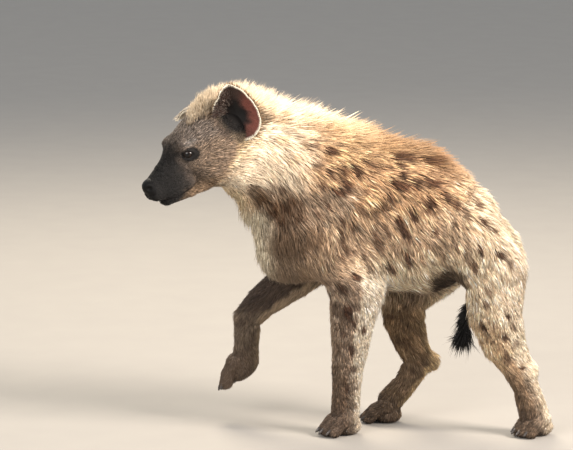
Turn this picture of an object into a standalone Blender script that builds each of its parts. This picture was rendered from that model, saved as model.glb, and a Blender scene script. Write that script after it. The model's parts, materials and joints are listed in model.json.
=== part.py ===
"""A young spotted hyena in mid-stride, life size, as a museum shows it.

Metres, +Z up. The hyena faces -Y and its left side is +X. The origin is on the floor, below the
middle of the animal. The flesh is one blended form made of round-ended bones and balls, each at the
outside of the short coat, and it is parted into head, neck, torso and legs by thin cuts. The mane,
the crest of the back and the brush of the tail are flat, tapered locks set on it in rows.
"""

import math

import bmesh
import bpy
import numpy as np
from mathutils import Matrix, Vector

# The gap between two pieces that touch, and the level of the floor.
GAP = 0.0003
FLOOR = 0.0

# The head: the point midway between the ear bases, how far the face turns to the left and dips.
HEAD_AT = Vector((0.018, -0.368, 0.663))
HEAD_YAW = math.radians(28)
HEAD_PITCH = math.radians(26)

# The eyes, in the head's own frame: left side of the face, +X left, -Y towards the nose, +Z crown.
EYE_AT = Vector((0.0385, -0.093, -0.0090))
EYE_RADIUS = 0.0135
LID_THICKNESS = 0.0028
EYE_OPENING = (0.0126, 0.0078)
EYE_TILT = 0.20
EYE_BARED = 0.0050
EYE_GAZE = Vector((0.80, -0.57, 0.12)).normalized()

# The line of the mouth, from the corner forward: distance to the nose side and height.
MOUTH_CORNER = 0.106
MOUTH_FRONT = 0.197
MOUTH_HEIGHT = -0.0735
MOUTH_SAG = 0.0085

# Fineness of the first mesh and what is left of it.
BODY_VOXEL = 0.0045
HEAD_VOXEL = 0.0022
TAIL_VOXEL = 0.0030
BODY_TRIANGLES = 3500
HEAD_TRIANGLES = 2250
TAIL_TRIANGLES = 220
SOFTEN_STEPS = 5
NEAR = 0.05
DRAW_REACH = 0.03
FACE_THINNING = 0.7
SHORTEST_EDGE = 3e-5


def reset_scene():
    for thing in list(bpy.data.objects):
        bpy.data.objects.remove(thing)


def new_collection(name, hidden=False):
    made = bpy.data.collections.new(name)
    made.hide_render = hidden
    bpy.context.scene.collection.children.link(made)
    return made


def new_object(name, mesh, collection):
    made = bpy.data.objects.new(name, mesh)
    collection.objects.link(made)
    return made


def frame_of(at, yaw=0.0, pitch=0.0, roll=0.0):
    """A frame that looks along its own -Y: yaw turns it to the left, pitch dips it."""
    turn = Matrix.Rotation(yaw, 4, "Z") @ Matrix.Rotation(pitch, 4, "X")
    return Matrix.Translation(at) @ turn @ Matrix.Rotation(roll, 4, "Y")


HEAD = frame_of(HEAD_AT, HEAD_YAW, HEAD_PITCH)
WORLD = Matrix.Identity(4)


class Chain:
    """Round sections joined one to the next. A section is x, y, z, radius and how wide it is for
    its height. blend is the fillet to what it grows from."""

    def __init__(self, sections, blend, frame=WORLD):
        self.sections = [(Vector(s[:3]), s[3], s[4] if len(s) > 4 else 1.0) for s in sections]
        self.blend = blend
        self.frame = frame
        ends = np.array([s[:3] for s in sections])
        centre = (ends.min(axis=0) + ends.max(axis=0)) / 2
        far = np.linalg.norm(ends - centre, axis=1)
        self.middle = np.array(frame @ Vector(centre))
        self.reach = max(f + s[3] * 1.3 for f, s in zip(far, sections))

    def distance(self, points):
        local = into(self.frame, points)
        found = np.full(len(points), np.inf)
        pairs = zip(self.sections, self.sections[1:] or self.sections)
        for (a, radius_a, wide_a), (b, radius_b, wide_b) in pairs:
            start, along = np.array(a), np.array(b - a)
            share = ((local - start) @ along) / max(along @ along, 1e-9)
            share = np.clip(share, 0, 1)
            off = local - start - share[:, None] * along
            wide = wide_a + (wide_b - wide_a) * share
            off[:, 0] /= wide
            length = np.linalg.norm(off, axis=1) + 1e-9
            steep = np.hypot(off[:, 0] / wide, np.hypot(off[:, 1], off[:, 2])) / length
            here = (length - (radius_a + (radius_b - radius_a) * share)) / steep
            found = np.minimum(found, here)
        return found

    def hulls(self, mesh):
        """Adds to mesh the convex hull of each pair of sections."""
        for first, second in zip(self.sections, self.sections[1:] or self.sections):
            hull = bmesh.new()
            for centre, radius, wide in (first, second):
                place = self.frame @ Matrix.Translation(centre) @ Matrix.Diagonal((wide, 1, 1, 1))
                bmesh.ops.create_icosphere(hull, subdivisions=2, radius=radius, matrix=place)
            swallow_hull(mesh, hull)


class Ball:
    """An ellipsoid with its three radii along its frame's axes."""

    def __init__(self, centre, radii, blend, frame=WORLD):
        self.centre = Vector(centre)
        self.radii = radii
        self.blend = blend
        self.frame = frame
        self.middle = np.array(frame @ self.centre)
        self.reach = max(radii)

    def distance(self, points):
        radii = np.array(self.radii)
        off = (into(self.frame, points) - np.array(self.centre)) / radii
        length = np.linalg.norm(off, axis=1) + 1e-9
        return (length - 1) * length / (np.linalg.norm(off / radii, axis=1) + 1e-9)

    def hulls(self, mesh):
        ball = bmesh.new()
        place = self.frame @ Matrix.Translation(self.centre) @ Matrix.Diagonal((*self.radii, 1))
        bmesh.ops.create_icosphere(ball, subdivisions=3, radius=1, matrix=place)
        swallow_hull(mesh, ball)


def swallow_hull(mesh, part):
    """Adds the convex hull of part's points to mesh."""
    bmesh.ops.convex_hull(part, input=part.verts)
    loose = [v for v in part.verts if not v.link_faces]
    bmesh.ops.delete(part, geom=loose, context="VERTS")
    made = bpy.data.meshes.new("hull")
    part.to_mesh(made)
    part.free()
    mesh.from_mesh(made)
    bpy.data.meshes.remove(made)


def into(frame, points):
    back = np.array(frame.inverted())
    return points @ back[:3, :3].T + back[:3, 3]


def trunk_forms():
    """Chest, belly and rump, then the shoulder blades and the hips that swell its sides."""
    spine = [
        (0, -0.165, 0.508, 0.127, 0.70),
        (0, -0.090, 0.480, 0.158, 0.68),
        (0, 0.000, 0.463, 0.160, 0.68),
        (0, 0.075, 0.445, 0.145, 0.69),
        (0, 0.140, 0.440, 0.109, 0.80),
        (0, 0.185, 0.420, 0.079, 0.92),
    ]
    breast = [(0, -0.205, 0.470, 0.080, 0.92), (0, -0.200, 0.400, 0.078, 0.90)]
    return [Chain(spine, 0.0), Chain(breast, 0.04)]


NECK = [
    (0.000, -0.175, 0.548, 0.118, 0.72),
    (0.010, -0.262, 0.594, 0.102, 0.80),
    (0.018, -0.340, 0.630, 0.092, 0.86),
]


def neck_forms():
    return [Chain(NECK, 0.05)]


def head_forms():
    """The skull, muzzle, jaw and the soft parts on them, in the head's own frame."""
    skull = Ball((0, -0.018, -0.014), (0.067, 0.078, 0.060), 0.035, HEAD)
    forehead = Ball((0, -0.072, -0.014), (0.052, 0.052, 0.046), 0.02, HEAD)
    muzzle = [
        (0, -0.095, -0.032, 0.046, 1.00),
        (0, -0.140, -0.044, 0.036, 1.00),
        (0, -0.178, -0.050, 0.026, 1.12),
    ]
    jaw = [
        (0, -0.166, -0.084, 0.0155, 1.10),
        (0, -0.112, -0.081, 0.0285, 1.20),
        (0, -0.050, -0.074, 0.0440, 1.20),
        (0, -0.005, -0.066, 0.0600, 1.05),
    ]
    found = [
        skull,
        forehead,
        Chain(muzzle, 0.02, HEAD),
        Chain(jaw, 0.014, HEAD),
        Ball((0, -0.191, -0.040), (0.0190, 0.0150, 0.0145), 0.008, HEAD),
    ]
    for side in (1, -1):
        lip = [
            (side * 0.015, -0.186, -0.060, 0.012),
            (side * 0.024, -0.155, -0.067, 0.014),
            (side * 0.033, -0.118, -0.064, 0.015),
        ]
        found += [
            Ball((side * 0.047, -0.042, -0.045), (0.031, 0.047, 0.046), 0.03, HEAD),
            Ball((side * 0.035, -0.090, 0.010), (0.015, 0.020, 0.011), 0.014, HEAD),
            Chain(lip, 0.012, HEAD),
            Ball(on_side(EYE_AT, side), (EYE_RADIUS + LID_THICKNESS,) * 3, 0.008, HEAD),
        ]
    return found


def on_side(point, side):
    return Vector((side * point.x, point.y, point.z))


# Each leg is a chain from where it swells out of the trunk down to the wrist or the ankle.
FRONT_LEFT_LEG = [
    (0.058, -0.160, 0.550, 0.046, 0.80),
    (0.068, -0.180, 0.440, 0.062, 0.74),
    (0.070, -0.080, 0.370, 0.064, 0.72),
    (0.068, -0.062, 0.318, 0.061, 0.70),
    (0.066, -0.070, 0.258, 0.049, 0.76),
    (0.064, -0.075, 0.190, 0.040, 0.82),
    (0.062, -0.081, 0.145, 0.034, 0.88),
    (0.062, -0.083, 0.100, 0.031, 0.92),
    (0.062, -0.085, 0.050, 0.031, 0.98),
]
FRONT_RIGHT_LEG = [
    (-0.058, -0.165, 0.555, 0.050, 0.75),
    (-0.070, -0.205, 0.430, 0.064, 0.70),
    (-0.076, -0.140, 0.372, 0.060, 0.72),
    (-0.075, -0.190, 0.322, 0.046, 0.78),
    (-0.072, -0.262, 0.268, 0.036, 0.86),
    (-0.070, -0.296, 0.232, 0.031, 0.90),
    (-0.070, -0.299, 0.175, 0.027, 0.95),
    (-0.070, -0.301, 0.138, 0.029, 1.00),
]
HIND_LEFT_LEG = [
    (0.058, 0.176, 0.418, 0.077, 0.76),
    (0.074, 0.232, 0.358, 0.069, 0.70),
    (0.076, 0.234, 0.268, 0.058, 0.68),
    (0.074, 0.252, 0.205, 0.048, 0.74),
    (0.072, 0.280, 0.155, 0.035, 0.82),
    (0.070, 0.301, 0.108, 0.029, 0.90),
    (0.070, 0.318, 0.052, 0.032, 0.95),
]
HIND_RIGHT_LEG = [
    (-0.058, 0.174, 0.418, 0.077, 0.76),
    (-0.074, 0.105, 0.350, 0.074, 0.64),
    (-0.076, 0.045, 0.285, 0.057, 0.68),
    (-0.074, 0.044, 0.230, 0.046, 0.74),
    (-0.071, 0.058, 0.180, 0.038, 0.80),
    (-0.068, 0.077, 0.138, 0.032, 0.86),
    (-0.066, 0.050, 0.088, 0.026, 0.92),
    (-0.065, 0.016, 0.050, 0.028, 0.98),
]
HOCKS = {"hind_left": (0.072, 0.306, 0.146), "hind_right": (-0.068, 0.105, 0.137)}
LEGS = {
    "hind_left": HIND_LEFT_LEG,
    "hind_right": HIND_RIGHT_LEG,
    "front_left": FRONT_LEFT_LEG,
    "front_right": FRONT_RIGHT_LEG,
}

# Each paw: the middle of its sole, how far it turns to the left and dips, and its size. They toe out.
# Only the right front one is off the floor, carried forward in the stride.
PAWS = {
    "front_left": (Vector((0.062, -0.086, 0.0)), math.radians(20), 0.0, 0.98),
    "front_right": (Vector((-0.070, -0.303, 0.098)), math.radians(-8), math.radians(33), 0.96),
    "hind_left": (Vector((0.070, 0.328, 0.0)), math.radians(28), 0.0, 0.93),
    "hind_right": (Vector((-0.065, 0.006, 0.0)), math.radians(-12), 0.0, 0.93),
}
TOE_SPREAD = (-0.0260, -0.0090, 0.0090, 0.0260)
TOE_REACH = (0.034, 0.044, 0.044, 0.034)
TOE_RADIUS = 0.0134


def paw_frame(leg):
    at, yaw, dip, size = PAWS[leg]
    return frame_of(at, yaw, dip) @ Matrix.Scale(size, 4)


def paw_forms(leg):
    """The pad and four toes, in a frame whose floor is the sole."""
    place = paw_frame(leg)
    found = [Ball((0, 0.002, 0.021), (0.0310, 0.0340, 0.0240), 0.012, place)]
    for across, reach in zip(TOE_SPREAD, TOE_REACH):
        toe = [
            (across * 0.72, 0.002, 0.042, 0.0190),
            (across * 0.96, -0.6 * reach, 0.0290, 0.0152),
            (across * 1.08, -reach, 0.0131, TOE_RADIUS),
        ]
        found.append(Chain(toe, 0.004, place))
    return found


def leg_forms(leg):
    found = [Chain(LEGS[leg], 0.03)] + paw_forms(leg)
    if leg in HOCKS:
        found.append(Chain([(*HOCKS[leg], 0.018, 0.80)], 0.02))
    return found


def all_forms():
    found = trunk_forms() + neck_forms() + head_forms()
    for leg in LEGS:
        found += leg_forms(leg)
    return found


def smooth_min(first, second, blend):
    if blend <= 0:
        return np.minimum(first, second)
    share = np.clip(0.5 + 0.5 * (second - first) / blend, 0, 1)
    return second * (1 - share) + first * share - blend * share * (1 - share)


def bump(distance, width):
    return np.exp(-((distance / width) ** 2))


def mouth_height(forward):
    """Height of the mouth's line at a distance forward of the ears."""
    share = (forward - MOUTH_CORNER) / (MOUTH_FRONT - MOUTH_CORNER)
    return MOUTH_HEIGHT - MOUTH_SAG * np.sin(np.pi * np.clip(share, 0, 1))


def mouth_relief(forward, side, height):
    """The line of the mouth, with a lip rolled out above and below it."""
    from_line = height - mouth_height(forward)
    along = np.clip((forward - MOUTH_CORNER) / 0.012, 0, 1)
    groove = 0.0046 * bump(from_line, 0.0021)
    lips = 0.0014 * bump(from_line - 0.0062, 0.0040) + 0.0014 * bump(from_line + 0.0060, 0.0038)
    return along * (groove - lips)


def nose_relief(forward, side, height):
    """The nostrils, which open to the side, and the groove between them."""
    across = (side - 0.0148) / 1.3
    nostril = np.sqrt(across**2 + ((forward - 0.1980) / 1.2) ** 2 + (height + 0.0390) ** 2)
    parting = bump(side, 0.0015) * bump(height + 0.056, 0.010) * (forward > 0.185)
    return 0.0060 * bump(nostril, 0.0046) + 0.0018 * parting


def lid_relief(local, side):
    """How deep the almond between the lids is, enough to bare the eye, with a raised rim."""
    centre = on_side(EYE_AT, side)
    gaze = on_side(EYE_GAZE, side)
    across = gaze.cross(Vector((0, 0, 1))).normalized()
    upward = across.cross(gaze)
    off = local - np.array(centre)
    along = off @ np.array(across)
    tilt = EYE_TILT * along * (1 if across.y < 0 else -1)
    wide = along / EYE_OPENING[0]
    high = (off @ np.array(upward) - tilt) / EYE_OPENING[1]
    inside = np.hypot(wide, high)
    front = off @ np.array(gaze) > 0
    opened = np.clip((1.25 - inside) / 0.5, 0, 1)
    rim = bump(inside - 1.55, 0.35)
    return front * (EYE_BARED * opened - 0.0007 * rim)


def relief(points):
    """How far the surface is cut in (+) or raised (-) at the mouth, the nostrils and the lids."""
    local = into(HEAD, points)
    forward, side, height = -local[:, 1], np.abs(local[:, 0]), local[:, 2]
    depth = mouth_relief(forward, side, height) + nose_relief(forward, side, height)
    near = np.linalg.norm(local + np.array((0, 0.12, 0.03)), axis=1) < 0.13
    depth += lid_relief(local, 1) + lid_relief(local, -1)
    return np.where(near, depth, 0.0)


def body_distance(points, forms):
    """Signed distance to the blended animal, negative inside it. Only near forms count."""
    found = np.ones(len(points))
    for form in forms:
        near = np.linalg.norm(points - form.middle, axis=1) < form.reach + NEAR
        if near.any():
            found[near] = smooth_min(form.distance(points[near]), found[near], form.blend)
    return found


def body_slope(points, forms, distance):
    """The direction in which the distance grows, and how fast."""
    step = 1e-4
    return np.stack(
        [(body_distance(points + step * axis, forms) - distance) / step for axis in np.eye(3)],
        axis=1,
    )


def apply_modifiers(thing):
    """Replaces thing's mesh by the one that its modifiers make."""
    graph = bpy.context.evaluated_depsgraph_get()
    made = bpy.data.meshes.new_from_object(thing.evaluated_get(graph))
    thing.modifiers.clear()
    thing.data = made


def mesh_points(mesh):
    points = np.empty(len(mesh.vertices) * 3)
    mesh.vertices.foreach_get("co", points)
    return points.reshape(-1, 3)


def mesh_normals(mesh):
    normals = np.empty(len(mesh.vertices) * 3)
    mesh.vertices.foreach_get("normal", normals)
    return normals.reshape(-1, 3)


def set_points(mesh, points):
    mesh.vertices.foreach_set("co", points.astype(np.float32).ravel())
    mesh.update()


def neighbour_mean(mesh, points):
    edges = np.empty(len(mesh.edges) * 2, np.int32)
    mesh.edges.foreach_get("vertices", edges)
    first, second = edges.reshape(-1, 2).T
    count = np.bincount(edges, minlength=len(points))
    total = [
        np.bincount(first, points[second, axis], len(points))
        + np.bincount(second, points[first, axis], len(points))
        for axis in range(3)
    ]
    return np.stack(total, axis=1) / count[:, None]


def draw_onto(mesh, forms, steps):
    """Moves each point of mesh onto the blended form, and evens the points out on the way. Points
    on an open end, far inside the form, stay."""
    points = mesh_points(mesh)
    for step in range(steps):
        distance = body_distance(points, forms)
        slope = body_slope(points, forms, distance)
        steep = np.linalg.norm(slope, axis=1, keepdims=True) + 1e-6
        normal = slope / steep
        moved = np.abs(distance) < DRAW_REACH
        points[moved] -= (distance[:, None] * normal / np.maximum(steep, 0.5))[moved]
        if step < steps - 1:
            drift = neighbour_mean(mesh, points) - points
            drift -= np.sum(drift * normal, axis=1, keepdims=True) * normal
            points[moved] += 0.6 * drift[moved]
    points[moved] -= (normal * relief(points)[:, None])[moved]
    set_points(mesh, points)


def thin_to(thing, triangles):
    """Thins a mesh to a count of triangles, less on the face than elsewhere."""
    local = into(HEAD, mesh_points(thing.data))
    face = np.linalg.norm(local + np.array((0, 0.14, 0.045)), axis=1) < 0.095
    group = thing.vertex_groups.new(name="thinned")
    group.add(np.flatnonzero(face).tolist(), FACE_THINNING, "REPLACE")
    group.add(np.flatnonzero(~face).tolist(), 1.0, "REPLACE")
    thing.data.calc_loop_triangles()
    thin = thing.modifiers.new("thin", "DECIMATE")
    thin.ratio = min(1.0, triangles / len(thing.data.loop_triangles))
    thin.vertex_group = "thinned"
    apply_modifiers(thing)
    thing.vertex_groups.clear()


def blended_mesh(name, skeleton, forms, voxel, triangles, collection):
    """One closed surface round skeleton, drawn onto forms and thinned to a count of triangles,
    if one is given."""
    rough = bmesh.new()
    for form in skeleton:
        form.hulls(rough)
    mesh = bpy.data.meshes.new(name)
    rough.to_mesh(mesh)
    rough.free()
    made = new_object(name, mesh, collection)
    remesh = made.modifiers.new("fuse", "REMESH")
    remesh.mode = "VOXEL"
    remesh.voxel_size = voxel
    apply_modifiers(made)
    draw_onto(made.data, forms, SOFTEN_STEPS)
    if triangles:
        thin_to(made, triangles)
    return made


# The ear as cut from a flat sheet: how far its rim is from the middle of the cup, by degrees turned
# from the back edge over the tip to the front. The tip is at 105, the part in the head round 220.
EAR_AT = Vector((0.090, 0.002, 0.019))
EAR_MIDDLE = (0.014, 0.015)
EAR_ANGLES = (0, 30, 60, 85, 105, 120, 137, 165, 190, 220, 250, 271, 285, 305, 327, 350)
EAR_REACH = (47, 43.5, 46, 57, 67, 61, 50, 47, 46, 45, 48, 51, 55, 56, 55, 51)
EAR_DEPTH = 0.036
EAR_THICKNESS = 0.0042


def head_level():
    """The turn that brings the head's frame back to the world's."""
    return HEAD.to_3x3().inverted().to_4x4()


def ear_frame(side):
    """The left ear is up and square to the left. The right one is held out, low and forward."""
    if side > 0:
        return HEAD @ Matrix.Translation(EAR_AT) @ head_level()
    splay = Matrix.Rotation(math.radians(45), 4, "Z") @ Matrix.Rotation(math.radians(-92), 4, "Y")
    return HEAD @ Matrix.Translation((-0.074, 0.013, -0.004)) @ head_level() @ splay


def ear_point(angle, share):
    """A point of the cup in the ear's frame: +X out of the opening, +Y to the back, +Z up."""
    reach = np.interp(angle, EAR_ANGLES, EAR_REACH, period=360) / 1000
    sunk = 0.030 * max(0.0, math.cos(math.radians(angle - 222))) ** 0.7
    turn = math.radians(angle)
    rise = share**1.7
    return Vector((
        -EAR_DEPTH + (EAR_DEPTH - sunk) * rise,
        EAR_MIDDLE[0] + reach * share * math.cos(turn),
        EAR_MIDDLE[1] + reach * share * math.sin(turn),
    ))


def ear_solid(name, side, collection):
    """A cupped sheet with a rounded rim, sunk into the head at its base."""
    place = ear_frame(side)
    cup = bmesh.new()
    middle = cup.verts.new(ear_point(0, 0))
    rings = [
        [cup.verts.new(ear_point(angle, share)) for angle in range(0, 360, 15)]
        for share in (0.28, 0.55, 0.80, 1.0)
    ]
    for at, vert in enumerate(rings[0]):
        cup.faces.new((middle, vert, rings[0][(at + 1) % len(rings[0])]))
    for inner, outer in zip(rings, rings[1:]):
        for at in range(len(inner)):
            after = (at + 1) % len(inner)
            cup.faces.new((inner[at], outer[at], outer[after], inner[after]))
    for vert in cup.verts:
        vert.co = place @ Vector((side * vert.co.x, vert.co.y, vert.co.z))
    if side < 0:
        bmesh.ops.reverse_faces(cup, faces=cup.faces)
    made = object_from(name, cup, collection)
    sheet = made.modifiers.new("thickness", "SOLIDIFY")
    sheet.thickness = EAR_THICKNESS
    sheet.offset = -1
    apply_modifiers(made)
    return made


def eyeball(name, side, collection, radius=EYE_RADIUS):
    ball = bmesh.new()
    place = HEAD @ Matrix.Translation(on_side(EYE_AT, side))
    bmesh.ops.create_icosphere(ball, subdivisions=3, radius=radius, matrix=place)
    return object_from(name, ball, collection)


def object_from(name, drawn, collection):
    mesh = bpy.data.meshes.new(name)
    drawn.to_mesh(mesh)
    drawn.free()
    return new_object(name, mesh, collection)


def loft(drawn, rings, tip):
    """A closed horn through rings of equal count, ending in one point. rings are lists of points."""
    made = [[drawn.verts.new(point) for point in ring] for ring in rings]
    end = drawn.verts.new(tip)
    drawn.faces.new(reversed(made[0]))
    for inner, outer in zip(made, made[1:]):
        for at in range(len(inner)):
            after = (at + 1) % len(inner)
            drawn.faces.new((inner[at], inner[after], outer[after], outer[at]))
    for at in range(len(made[-1])):
        drawn.faces.new((made[-1][at], made[-1][(at + 1) % len(made[-1])], end))


def ring(centre, across, upward, wide, high, count):
    turns = [2 * math.pi * at / count for at in range(count)]
    return [
        centre + across * (0.5 * wide * math.cos(t)) + upward * (0.5 * high * math.sin(t))
        for t in turns
    ]


# A claw leaves its toe near the top of the tip and bends down to a blunt point above the floor.
CLAW_SIDES = 6
CLAW_BACK = 0.004
CLAW_OUT = 0.0215
CLAW_TALL = 0.0090
CLAW_WIDE = 0.0072


def claw(leg, number, collection):
    place = paw_frame(leg)
    across, reach = TOE_SPREAD[number] * 1.08, TOE_REACH[number]
    rings = []
    for share in (0.0, 0.35, 0.70, 0.92):
        forward = CLAW_BACK + (CLAW_OUT - CLAW_BACK) * share
        lift = 0.0165 - 0.0095 * share**2
        size = 1 - 0.72 * share**1.6
        centre = Vector((across, -reach - forward, lift))
        upward = Vector((0, -0.9 * share, 1)).normalized()
        rings.append(ring(centre, Vector((1, 0, 0)), upward, CLAW_WIDE * size, CLAW_TALL * size,
                          CLAW_SIDES))
    tip = Vector((across, -reach - CLAW_OUT, 0.0056))
    drawn = bmesh.new()
    loft(drawn, [[place @ point for point in points] for points in rings], place @ tip)
    bmesh.ops.recalc_face_normals(drawn, faces=drawn.faces)
    return object_from(f"claw_{leg}_{number + 1}", drawn, collection)


def combine(thing, other, operation, solver="MANIFOLD"):
    """Applies a Boolean with an object, or a union with all of a collection."""
    cut = thing.modifiers.new("cut", "BOOLEAN")
    cut.operation = operation
    cut.solver = solver
    if isinstance(other, bpy.types.Collection):
        cut.operand_type = "COLLECTION"
        cut.collection = other
    else:
        cut.object = other
    apply_modifiers(thing)


def keep_largest(thing):
    """Leaves only the closed surface with the most points."""
    drawn = bmesh.new()
    drawn.from_mesh(thing.data)
    left, shells = set(drawn.verts), []
    while left:
        shell, edge = set(), [left.pop()]
        while edge:
            vert = edge.pop()
            shell.add(vert)
            near = {e.other_vert(vert) for e in vert.link_edges} & left
            left -= near
            edge += near
        shells.append(shell)
    shells.sort(key=len)
    for shell in shells[:-1]:
        bmesh.ops.delete(drawn, geom=list(shell), context="VERTS")
    bmesh.ops.triangulate(drawn, faces=drawn.faces)
    drawn.to_mesh(thing.data)
    bmesh.ops.dissolve_degenerate(drawn, dist=SHORTEST_EDGE, edges=drawn.edges)
    bmesh.ops.triangulate(drawn, faces=drawn.faces)
    if all(edge.is_manifold for edge in drawn.edges):
        drawn.to_mesh(thing.data)
    drawn.free()


def copy_of(thing, name, swell=0.0):
    """A copy with its surface moved out by swell."""
    made = new_object(name, thing.data.copy(), thing.users_collection[0])
    points = mesh_points(made.data) + swell * mesh_normals(made.data)
    set_points(made.data, points)
    return made


def block(name, frame, low, high, collection):
    """A box between two corners in a frame."""
    drawn = bmesh.new()
    low, high = Vector(low), Vector(high)
    size = Matrix.Diagonal((*(high - low), 1))
    bmesh.ops.create_cube(drawn, size=1, matrix=frame @ Matrix.Translation((low + high) / 2) @ size)
    return object_from(name, drawn, collection)


def discard(*things):
    for thing in things:
        bpy.data.objects.remove(thing)


def split_off(body, name, frame, low, high):
    """Parts the piece of body in a box from the rest, with a gap between them."""
    collection = body.users_collection[0]
    inside = block("inside", frame, low, high, collection)
    wide = Vector((GAP, GAP, GAP))
    outside = block("outside", frame, Vector(low) - wide, Vector(high) + wide, collection)
    piece = copy_of(body, name)
    combine(piece, inside, "INTERSECT")
    combine(body, outside, "DIFFERENCE")
    discard(inside, outside)
    keep_largest(piece)
    return piece


# Where the pieces part: a frame whose -Y side is the head's, and one whose -Y side is the neck's.
NAPE = frame_of(Vector((0.012, -0.310, 0.612)), math.radians(8), math.radians(-34))
SHOULDER = frame_of(Vector((0.0, -0.225, 0.560)), 0.0, math.radians(-36))
FAR = 0.6
MARGIN = 0.035

# Each leg leaves the trunk at a slanting level: a point on it, its slope and its reach in y and x.
LEG_CUTS = {
    "front_left": (Vector((0.0, -0.10, 0.345)), math.radians(-10), (-0.20, 0.115), (0.02, 0.2)),
    "front_right": (Vector((0.0, -0.12, 0.345)), math.radians(0), (-0.30, 0.11), (-0.2, -0.02)),
    "hind_left": (Vector((0.0, 0.16, 0.283)), math.radians(28), (-0.06, 0.30), (0.002, 0.2)),
    "hind_right": (Vector((0.0, 0.06, 0.277)), math.radians(8), (-0.22, 0.12), (-0.2, -0.002)),
}


def split_leg(body, leg):
    at, slope, (front, back), (right, left) = LEG_CUTS[leg]
    frame = Matrix.Translation(at) @ Matrix.Rotation(slope, 4, "X")
    return split_off(body, "leg_" + leg, frame, (right, front, -FAR), (left, back, 0))


def flatten_sole(leg):
    floor = block("floor", WORLD, (-FAR, -FAR, -FAR), (FAR, FAR, FLOOR), leg.users_collection[0])
    combine(leg, floor, "DIFFERENCE")
    discard(floor)
    keep_largest(leg)


# The tail is held in between the hind legs. From the fifth section on it is the core of the brush.
TAIL = [
    (0, 0.215, 0.440, 0.034),
    (0, 0.262, 0.420, 0.023),
    (0, 0.284, 0.385, 0.017),
    (0, 0.264, 0.342, 0.0145),
    (0, 0.224, 0.305, 0.0130),
    (0, 0.194, 0.278, 0.0125),
    (0, 0.179, 0.245, 0.0120),
    (0, 0.172, 0.210, 0.0090),
]
BRUSH_ROWS = 6
BRUSH_LOCKS = 4
BRUSH_LENGTH = 0.054
BRUSH_WIDTH = 0.017

# The core of the crest, half as high as its hair.
RIDGE = [
    (0.044, -0.405, 0.660, 0.026, 0.9),
    (0.028, -0.376, 0.683, 0.038, 0.8),
    (0.014, -0.290, 0.680, 0.043, 0.7),
    (0.005, -0.228, 0.652, 0.045, 0.7),
    (0, -0.151, 0.623, 0.050, 0.7),
    (0, -0.055, 0.604, 0.050, 0.7),
    (0, 0.000, 0.584, 0.048, 0.7),
    (0, 0.070, 0.555, 0.046, 0.7),
    (0, 0.150, 0.512, 0.046, 0.7),
]

# The hair of the crest, from the forehead over the neck to the loins: a point inside the animal, and
# there the hair's length, how far it leans back from upright and how far it goes down each side.
CREST = [
    (0.0415, -0.410, 0.640, 0.024, -20, 27),
    (0.0270, -0.375, 0.650, 0.034, -4, 28),
    (0.0150, -0.325, 0.635, 0.047, 14, 28),
    (0.0080, -0.265, 0.610, 0.056, 30, 25),
    (0.0000, -0.190, 0.580, 0.063, 42, 21),
    (0.0000, -0.100, 0.540, 0.063, 50, 17),
    (0.0000, 0.000, 0.505, 0.058, 58, 13),
    (0.0000, 0.080, 0.480, 0.047, 66, 10),
    (0.0000, 0.150, 0.457, 0.036, 72, 8),
]
CREST_STEP = 0.0235
WIDE_CREST = 18
LOCK_WIDTH = 0.026
LOCK_THICKNESS = 0.0085
ROOT_DEPTH = 0.006


def lock(root, grow, flow, length, width):
    """One flat, tapered tuft that leaves the skin along grow and bends over towards flow."""
    across = grow.cross(flow).normalized()
    rings = []
    for share in (0.0, 0.42, 0.78):
        along = (grow + flow * 0.55 * share).normalized()
        centre = root + (grow + flow * 0.35 * share) * (length * share)
        face = across.cross(along)
        wide = width * (1 - 0.62 * share**2)
        rings.append(ring(centre, across, face, wide, LOCK_THICKNESS * (1 - 0.5 * share), 4))
    tip = root + (grow + flow * 0.42).normalized() * (length * 1.12)
    drawn = bmesh.new()
    loft(drawn, rings, tip)
    bmesh.ops.recalc_face_normals(drawn, faces=drawn.faces)
    return drawn


def crest_stations():
    """Evenly spaced values of CREST from front to back, each with the direction to the back."""
    table = np.array(CREST)
    reach = np.append(0, np.cumsum(np.linalg.norm(np.diff(table[:, :3], axis=0), axis=1)))
    for at in np.arange(0.0, reach[-1], CREST_STEP):
        here = [np.interp(at, reach, column) for column in table.T]
        ahead = [np.interp(at + 0.03, reach, column) for column in table.T[:3]]
        behind = [np.interp(at - 0.03, reach, column) for column in table.T[:3]]
        yield here, (Vector(ahead) - Vector(behind)).normalized()


def skin_point(inside, outward, forms):
    """Where a line from inside the animal comes out of its bare skin."""
    reach = np.linspace(0, 0.25, 501)
    line = np.array(inside) + reach[:, None] * np.array(outward)
    return inside + outward * reach[np.argmax(body_distance(line, forms) > 0)]


def grow_crest(forms, chance, collection):
    """Sets staggered rows of locks on the bare skin, to stand out of the crest's core."""
    for row, (here, back) in enumerate(crest_stations()):
        inside, (length, lean, spread) = Vector(here[:3]), here[3:]
        upright = Vector((0, 0, 1)) - back * back.z
        count = (4 if spread > WIDE_CREST else 2) + row % 2
        for number in range(count):
            turn = math.radians(spread) * (2 * number / (count - 1) - 1) + chance.normal(0, 0.03)
            outward = Matrix.Rotation(turn, 3, back) @ upright.normalized()
            tilt = math.radians(lean + chance.normal(0, 5))
            grow = outward * math.cos(tilt) + back * math.sin(tilt)
            reach = length * chance.uniform(0.88, 1.12) + ROOT_DEPTH
            flow = (back - grow * grow.dot(back)).normalized()
            root = skin_point(inside, outward, forms) - grow * ROOT_DEPTH
            object_from("lock", lock(root, grow, flow, reach, LOCK_WIDTH), collection)


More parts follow.
